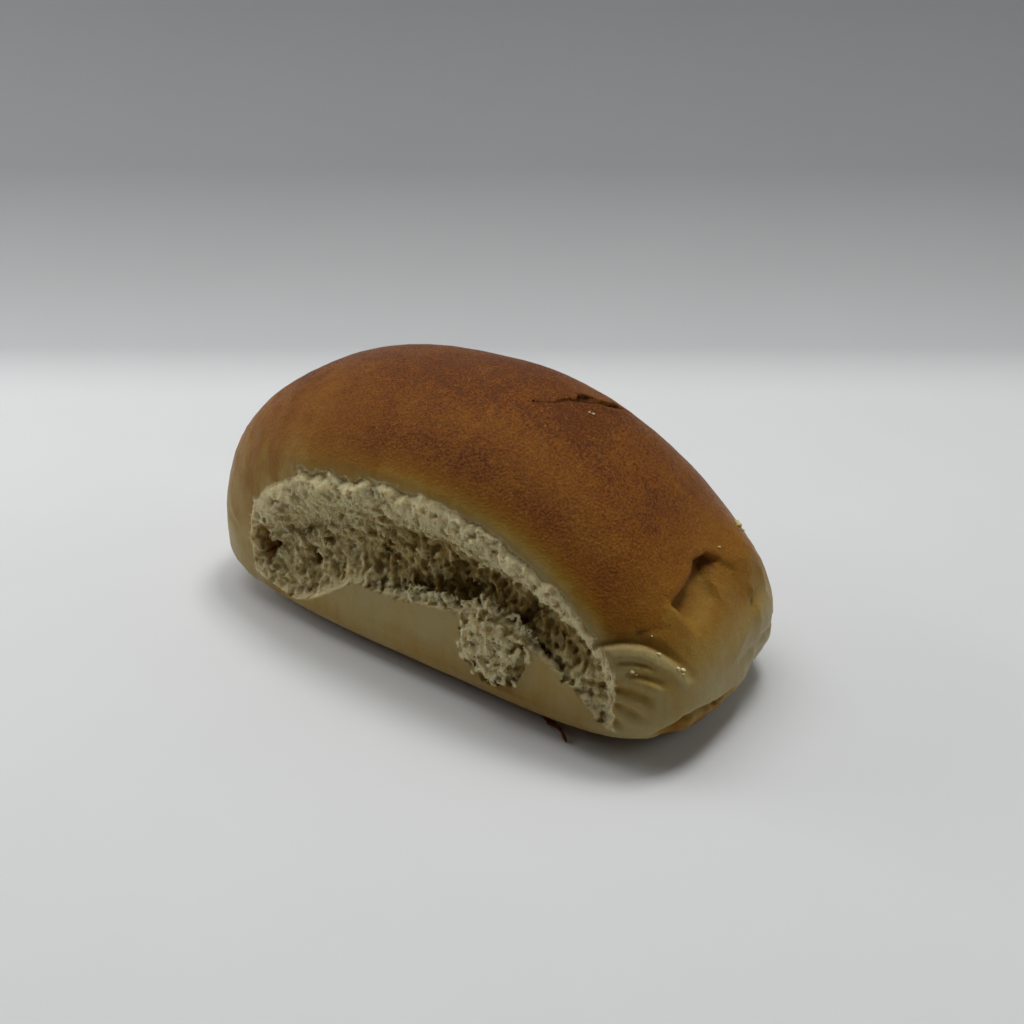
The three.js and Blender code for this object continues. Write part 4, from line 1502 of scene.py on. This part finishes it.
def crust_colour(tree, speckles):
    bake = value_of(tree, "bake")
    blotches = noise_texture(tree, 7.0, detail=6.0, roughness=0.65)
    streaks = noise_texture(tree, (1.4, 1.4, 14.0), detail=3.0)
    uneven = math_node(tree, "ADD", bake, spread(tree, blotches, 0.3, 0.7, -0.1, 0.1))
    uneven = math_node(tree, "ADD", uneven, spread(tree, streaks, 0.3, 0.7, -0.05, 0.05))
    # The speckle noise also raises the bump: the crust's own grain, lighter on its rises and darker in its
    # dips, partly painted glints and shade
    dots = spread(tree, speckles, 0.35, 0.65, 0.15, -0.15)
    dots = math_node(tree, "MULTIPLY", dots, grain_and_glint_share(tree, bake))
    uneven = math_node(tree, "ADD", uneven, dots)
    colour = ramp(tree, uneven, CRUST_STOPS)
    grain = grey(tree, spread(tree, speckles, 0.35, 0.65, 0.62, 1.42))
    colour = mixed(tree, grain_and_glint_share(tree, bake), colour, mixed(tree, 1.0, colour, grain, "MULTIPLY"))
    # Sparse pale specks: blisters of the crust, partly painted glints
    specks_and_glints = spread(tree, cells(tree, 3.4), 0.06, 0.03, 0.0, 0.6)
    colour = mixed(tree, specks_and_glints, colour, PALE_SPECK_AND_GLINT)
    # Paints shade in the crack, the slit, under the dent's rim and low on the front right, and the crust's
    # own dark spots
    folds = math_node(tree, "MULTIPLY", value_of(tree, "fold"), 0.85)
    return mixed(tree, folds, colour, DARK_SHADE_AND_SPOT)


# Crumb colours from deep painted shade at 0 to the crumb's own colour at 1
CRUMB_STOPS = [
    (0.0, (0.38, 0.26, 0.085)),
    (0.35, (0.55, 0.435, 0.195)),
    (0.7, (0.71, 0.6, 0.325)),
    (1.0, (0.83, 0.72, 0.43)),
]


def crumb_colour(tree, pits):
    patches = noise_texture(tree, 5.0, detail=4.0)
    # The crumb's painted shade with random lighter and darker patches
    tone = math_node(tree, "ADD", value_of(tree, "tone"), spread(tree, patches, 0.3, 0.7, -0.14, 0.14))
    # Darker where the pits noise is low; in the roll this noise also sinks the bump, so it is painted
    # shade in the fine pits, and on the loose crumbs an even random mottle
    tone = math_node(tree, "ADD", tone, spread(tree, pits, 0.35, 0.65, -0.2, 0.16))
    return ramp(tree, tone, CRUMB_STOPS)


def between(tree, share, first, second):
    """A number that is first on skin and second on crumb."""
    made = node(tree, "ShaderNodeMix", data_type="FLOAT")
    fill(tree, [made.inputs[0], *made.inputs[2:4]], (share, first, second))
    return made.outputs[0]


def bread_material():
    """Satin baked skin and matte torn crumb, told apart by a value of the mesh."""
    material, tree, shader = new_material("bread")
    crumb = value_of(tree, "crumb")
    speckles = noise_texture(tree, 0.42, detail=4.0, roughness=0.75, distortion=0.4)
    pits = noise_texture(tree, (0.5, 0.5, 0.9), detail=3.0, roughness=0.7, distortion=0.8)
    colour = mixed(tree, crumb, crust_colour(tree, speckles), crumb_colour(tree, pits))
    link(tree, colour, shader.inputs["Base Color"])
    satin = spread(tree, speckles, 0.35, 0.65, 0.46, 0.26)
    link(tree, between(tree, crumb, satin, 0.9), shader.inputs["Roughness"])
    leather = cells(tree, 0.62)
    skin_height = math_node(tree, "ADD", speckles, spread(tree, leather, 0.0, 0.6, 0.4, 0.0))
    fibres = noise_texture(tree, (0.28, 0.28, 1.1), detail=3.0, roughness=0.7, distortion=1.2)
    # The pits noise also darkens the crumb's colour, as painted shade in the bump's pits
    crumb_height = math_node(tree, "ADD", pits, fibres)
    height = between(tree, crumb, skin_height, crumb_height)
    skin_depth = spread(tree, value_of(tree, "bake"), 0.1, 0.8, 0.06, 0.22)
    depth = between(tree, crumb, skin_depth, 0.4)
    scaled = math_node(tree, "MULTIPLY", height, depth)
    fine = bump(tree, scaled, 1.0, 1.0)
    wide = noise_texture(tree, 1.7, detail=3.0)
    link(tree, bump(tree, wide, 0.5, 0.25, fine), shader.inputs["Normal"])
    set_inputs(shader, IOR=1.35, Specular_IOR_Level=0.25, Specular_Tint=(1.0, 0.85, 0.7, 1))
    link(tree, between(tree, crumb, 0.04, 0.65), shader.inputs["Subsurface Weight"])
    set_inputs(shader, Subsurface_Radius=(2.2 * MM, 1.6 * MM, 0.9 * MM), Subsurface_Scale=1.0)
    return material


def loose_crumb_material():
    """Dull pale crumb, for the fuzz and the loose crumbs."""
    material, tree, shader = new_material("loose_crumb")
    pits = noise_texture(tree, 0.5, detail=2.0)
    link(tree, crumb_colour(tree, pits), shader.inputs["Base Color"])
    set_inputs(shader, Roughness=1.0, Specular_IOR_Level=0.1)
    return material


# The roll

def make_roll():
    axes = grid_axes()
    field = fine_field(axes)
    dough = (field, axes, fluff_field(axes, field))
    for tear in TEARS:
        open_pores(dough, tear)
        add_tatters(dough, tear)
        open_rim_pores(dough, tear)
        open_patch_pores(dough, tear)
    vertices, quads = main_part(*surface_net(field, axes))
    roll = new_object("milk_roll", mesh_from("milk_roll", vertices, quads))
    thin_out(roll)
    mesh = roll.data
    places = vertex_places(mesh)
    crumb = crumb_share(places)
    places = settle_on_skin(places, crumb)
    add_value(mesh, "crumb", crumb)
    add_value(mesh, "bake", bake_share(places))
    # Painted shade of the skin, with its own dark spots
    add_value(mesh, "fold", shade_and_spot_share(places))
    # Painted shade of the torn crumb
    add_value(mesh, "tone", crumb_tone(places))
    mesh.vertices.foreach_set("co", to_metres(places).astype(np.float32).ravel())
    mesh.materials.append(bread_material())
    loose_crumb_material()
    shade_smooth(mesh)
    mesh.update()
    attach(roll, "root")
    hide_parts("roll")
    return roll


# Camera at the photograph's angle, floor and light

EYE = (117.01, -150.43, 125.61)
LOOKED_AT = (1.38, 8.69, 21.3)
LENS = 38.67
SENSOR = 36.0


def make_camera():
    data = bpy.data.cameras.new("camera")
    data.lens = LENS
    data.sensor_width = SENSOR
    data.clip_start = 0.01
    camera = new_object("camera", data)
    aim(camera, EYE, LOOKED_AT)
    bpy.context.scene.camera = camera


# Painted shade: the backdrop greys upwards as the light falls off
BACKDROP_FADE = 100.0
BACKDROP_SHADE_STOPS = [
    (0.0, (0.71, 0.72, 0.72)),
    (0.05, (0.50, 0.51, 0.515)),
    (0.2, (0.42, 0.427, 0.43)),
    (0.5, (0.30, 0.304, 0.31)),
    (1.0, (0.31, 0.314, 0.32)),
]
FLOOR_FRONT = -1500.0
FLOOR_BACK = 118.0
BEND_RADIUS = 120.0
BACKDROP_TOP = 1600.0
FLOOR_HALF_WIDTH = 2000.0
BEND_STEPS = 32


def floor_profile():
    """Floor and backdrop from the side, as distances from the roll and heights."""
    profile = [(FLOOR_FRONT, 0.0), (FLOOR_BACK, 0.0)]
    for step in range(1, BEND_STEPS + 1):
        angle = 0.5 * math.pi * step / BEND_STEPS
        far = FLOOR_BACK + BEND_RADIUS * math.sin(angle)
        profile.append((far, BEND_RADIUS * (1 - math.cos(angle))))
    return profile + [(FLOOR_BACK + BEND_RADIUS, BACKDROP_TOP)]


def floor_material():
    """Pale, greyer upwards: painted shade for light that falls off up the backdrop."""
    material, tree, shader = new_material("pale_floor")
    coordinates = node(tree, "ShaderNodeTexCoord")
    height = node(tree, "ShaderNodeSeparateXYZ")
    link(tree, coordinates.outputs["Object"], height.inputs["Vector"])
    share = spread(tree, height.outputs["Z"], 0.0, BACKDROP_FADE * MM)
    mottle = spread(tree, noise_texture(tree, 40.0, detail=2.0), 0.3, 0.7, 0.985, 1.0)
    colour = mixed(tree, 1.0, ramp(tree, share, BACKDROP_SHADE_STOPS), grey(tree, mottle), "MULTIPLY")
    link(tree, colour, shader.inputs["Base Color"])
    set_inputs(shader, Roughness=0.75, Specular_IOR_Level=0.2)
    return material


def make_floor():
    """A pale floor that bends up into a backdrop, square to the camera."""
    profile = floor_profile()
    away = Vector(LOOKED_AT) - Vector(EYE)
    away.z = 0
    away.normalize()
    sideways = Vector((-away.y, away.x, 0))
    vertices = []
    for distance, height in profile:
        for side in (-1, 1):
            place = away * distance + sideways * side * FLOOR_HALF_WIDTH
            vertices.append((place.x * MM, place.y * MM, height * MM))
    faces = np.array([(2 * i, 2 * i + 1, 2 * i + 3, 2 * i + 2) for i in range(len(profile) - 1)])
    mesh = mesh_from("floor", np.array(vertices), faces)
    floor = new_object("floor", mesh)
    mesh.materials.append(floor_material())
    shade_smooth(mesh)


# Lamps: name, place, target, width, depth and power
LIGHTS = [
    ("overhead", (-165, 40, 600), (0, 20, 0), 520, 480, 2.1),
    ("sheen", (60, 120, 600), (0, 10, 0), 150, 150, 1.3),
    ("left", (-300, -130, 200), (-20, 0, 20), 180, 160, 0.3),
    ("right", (480, 300, 300), (0, 0, 20), 380, 320, 0.5),
]
WORLD_LIGHT = 0.04
WORLD_COLOUR = (0.95, 0.98, 1.0, 1)


def make_lights():
    for name, place, target, width, depth, power in LIGHTS:
        data = bpy.data.lights.new(name, "AREA")
        data.shape = "RECTANGLE"
        data.size = width * MM
        data.size_y = depth * MM
        data.energy = power
        aim(new_object(name, data), place, target)
    world = bpy.data.worlds.new("world")
    world.use_nodes = True
    background = world.node_tree.nodes["Background"]
    set_inputs(background, Color=WORLD_COLOUR, Strength=WORLD_LIGHT)
    bpy.context.scene.world = world
    bpy.context.scene.view_settings.view_transform = "Standard"


make_camera()
make_fuzz(make_roll())
make_loose_bits()
make_floor()
make_lights()
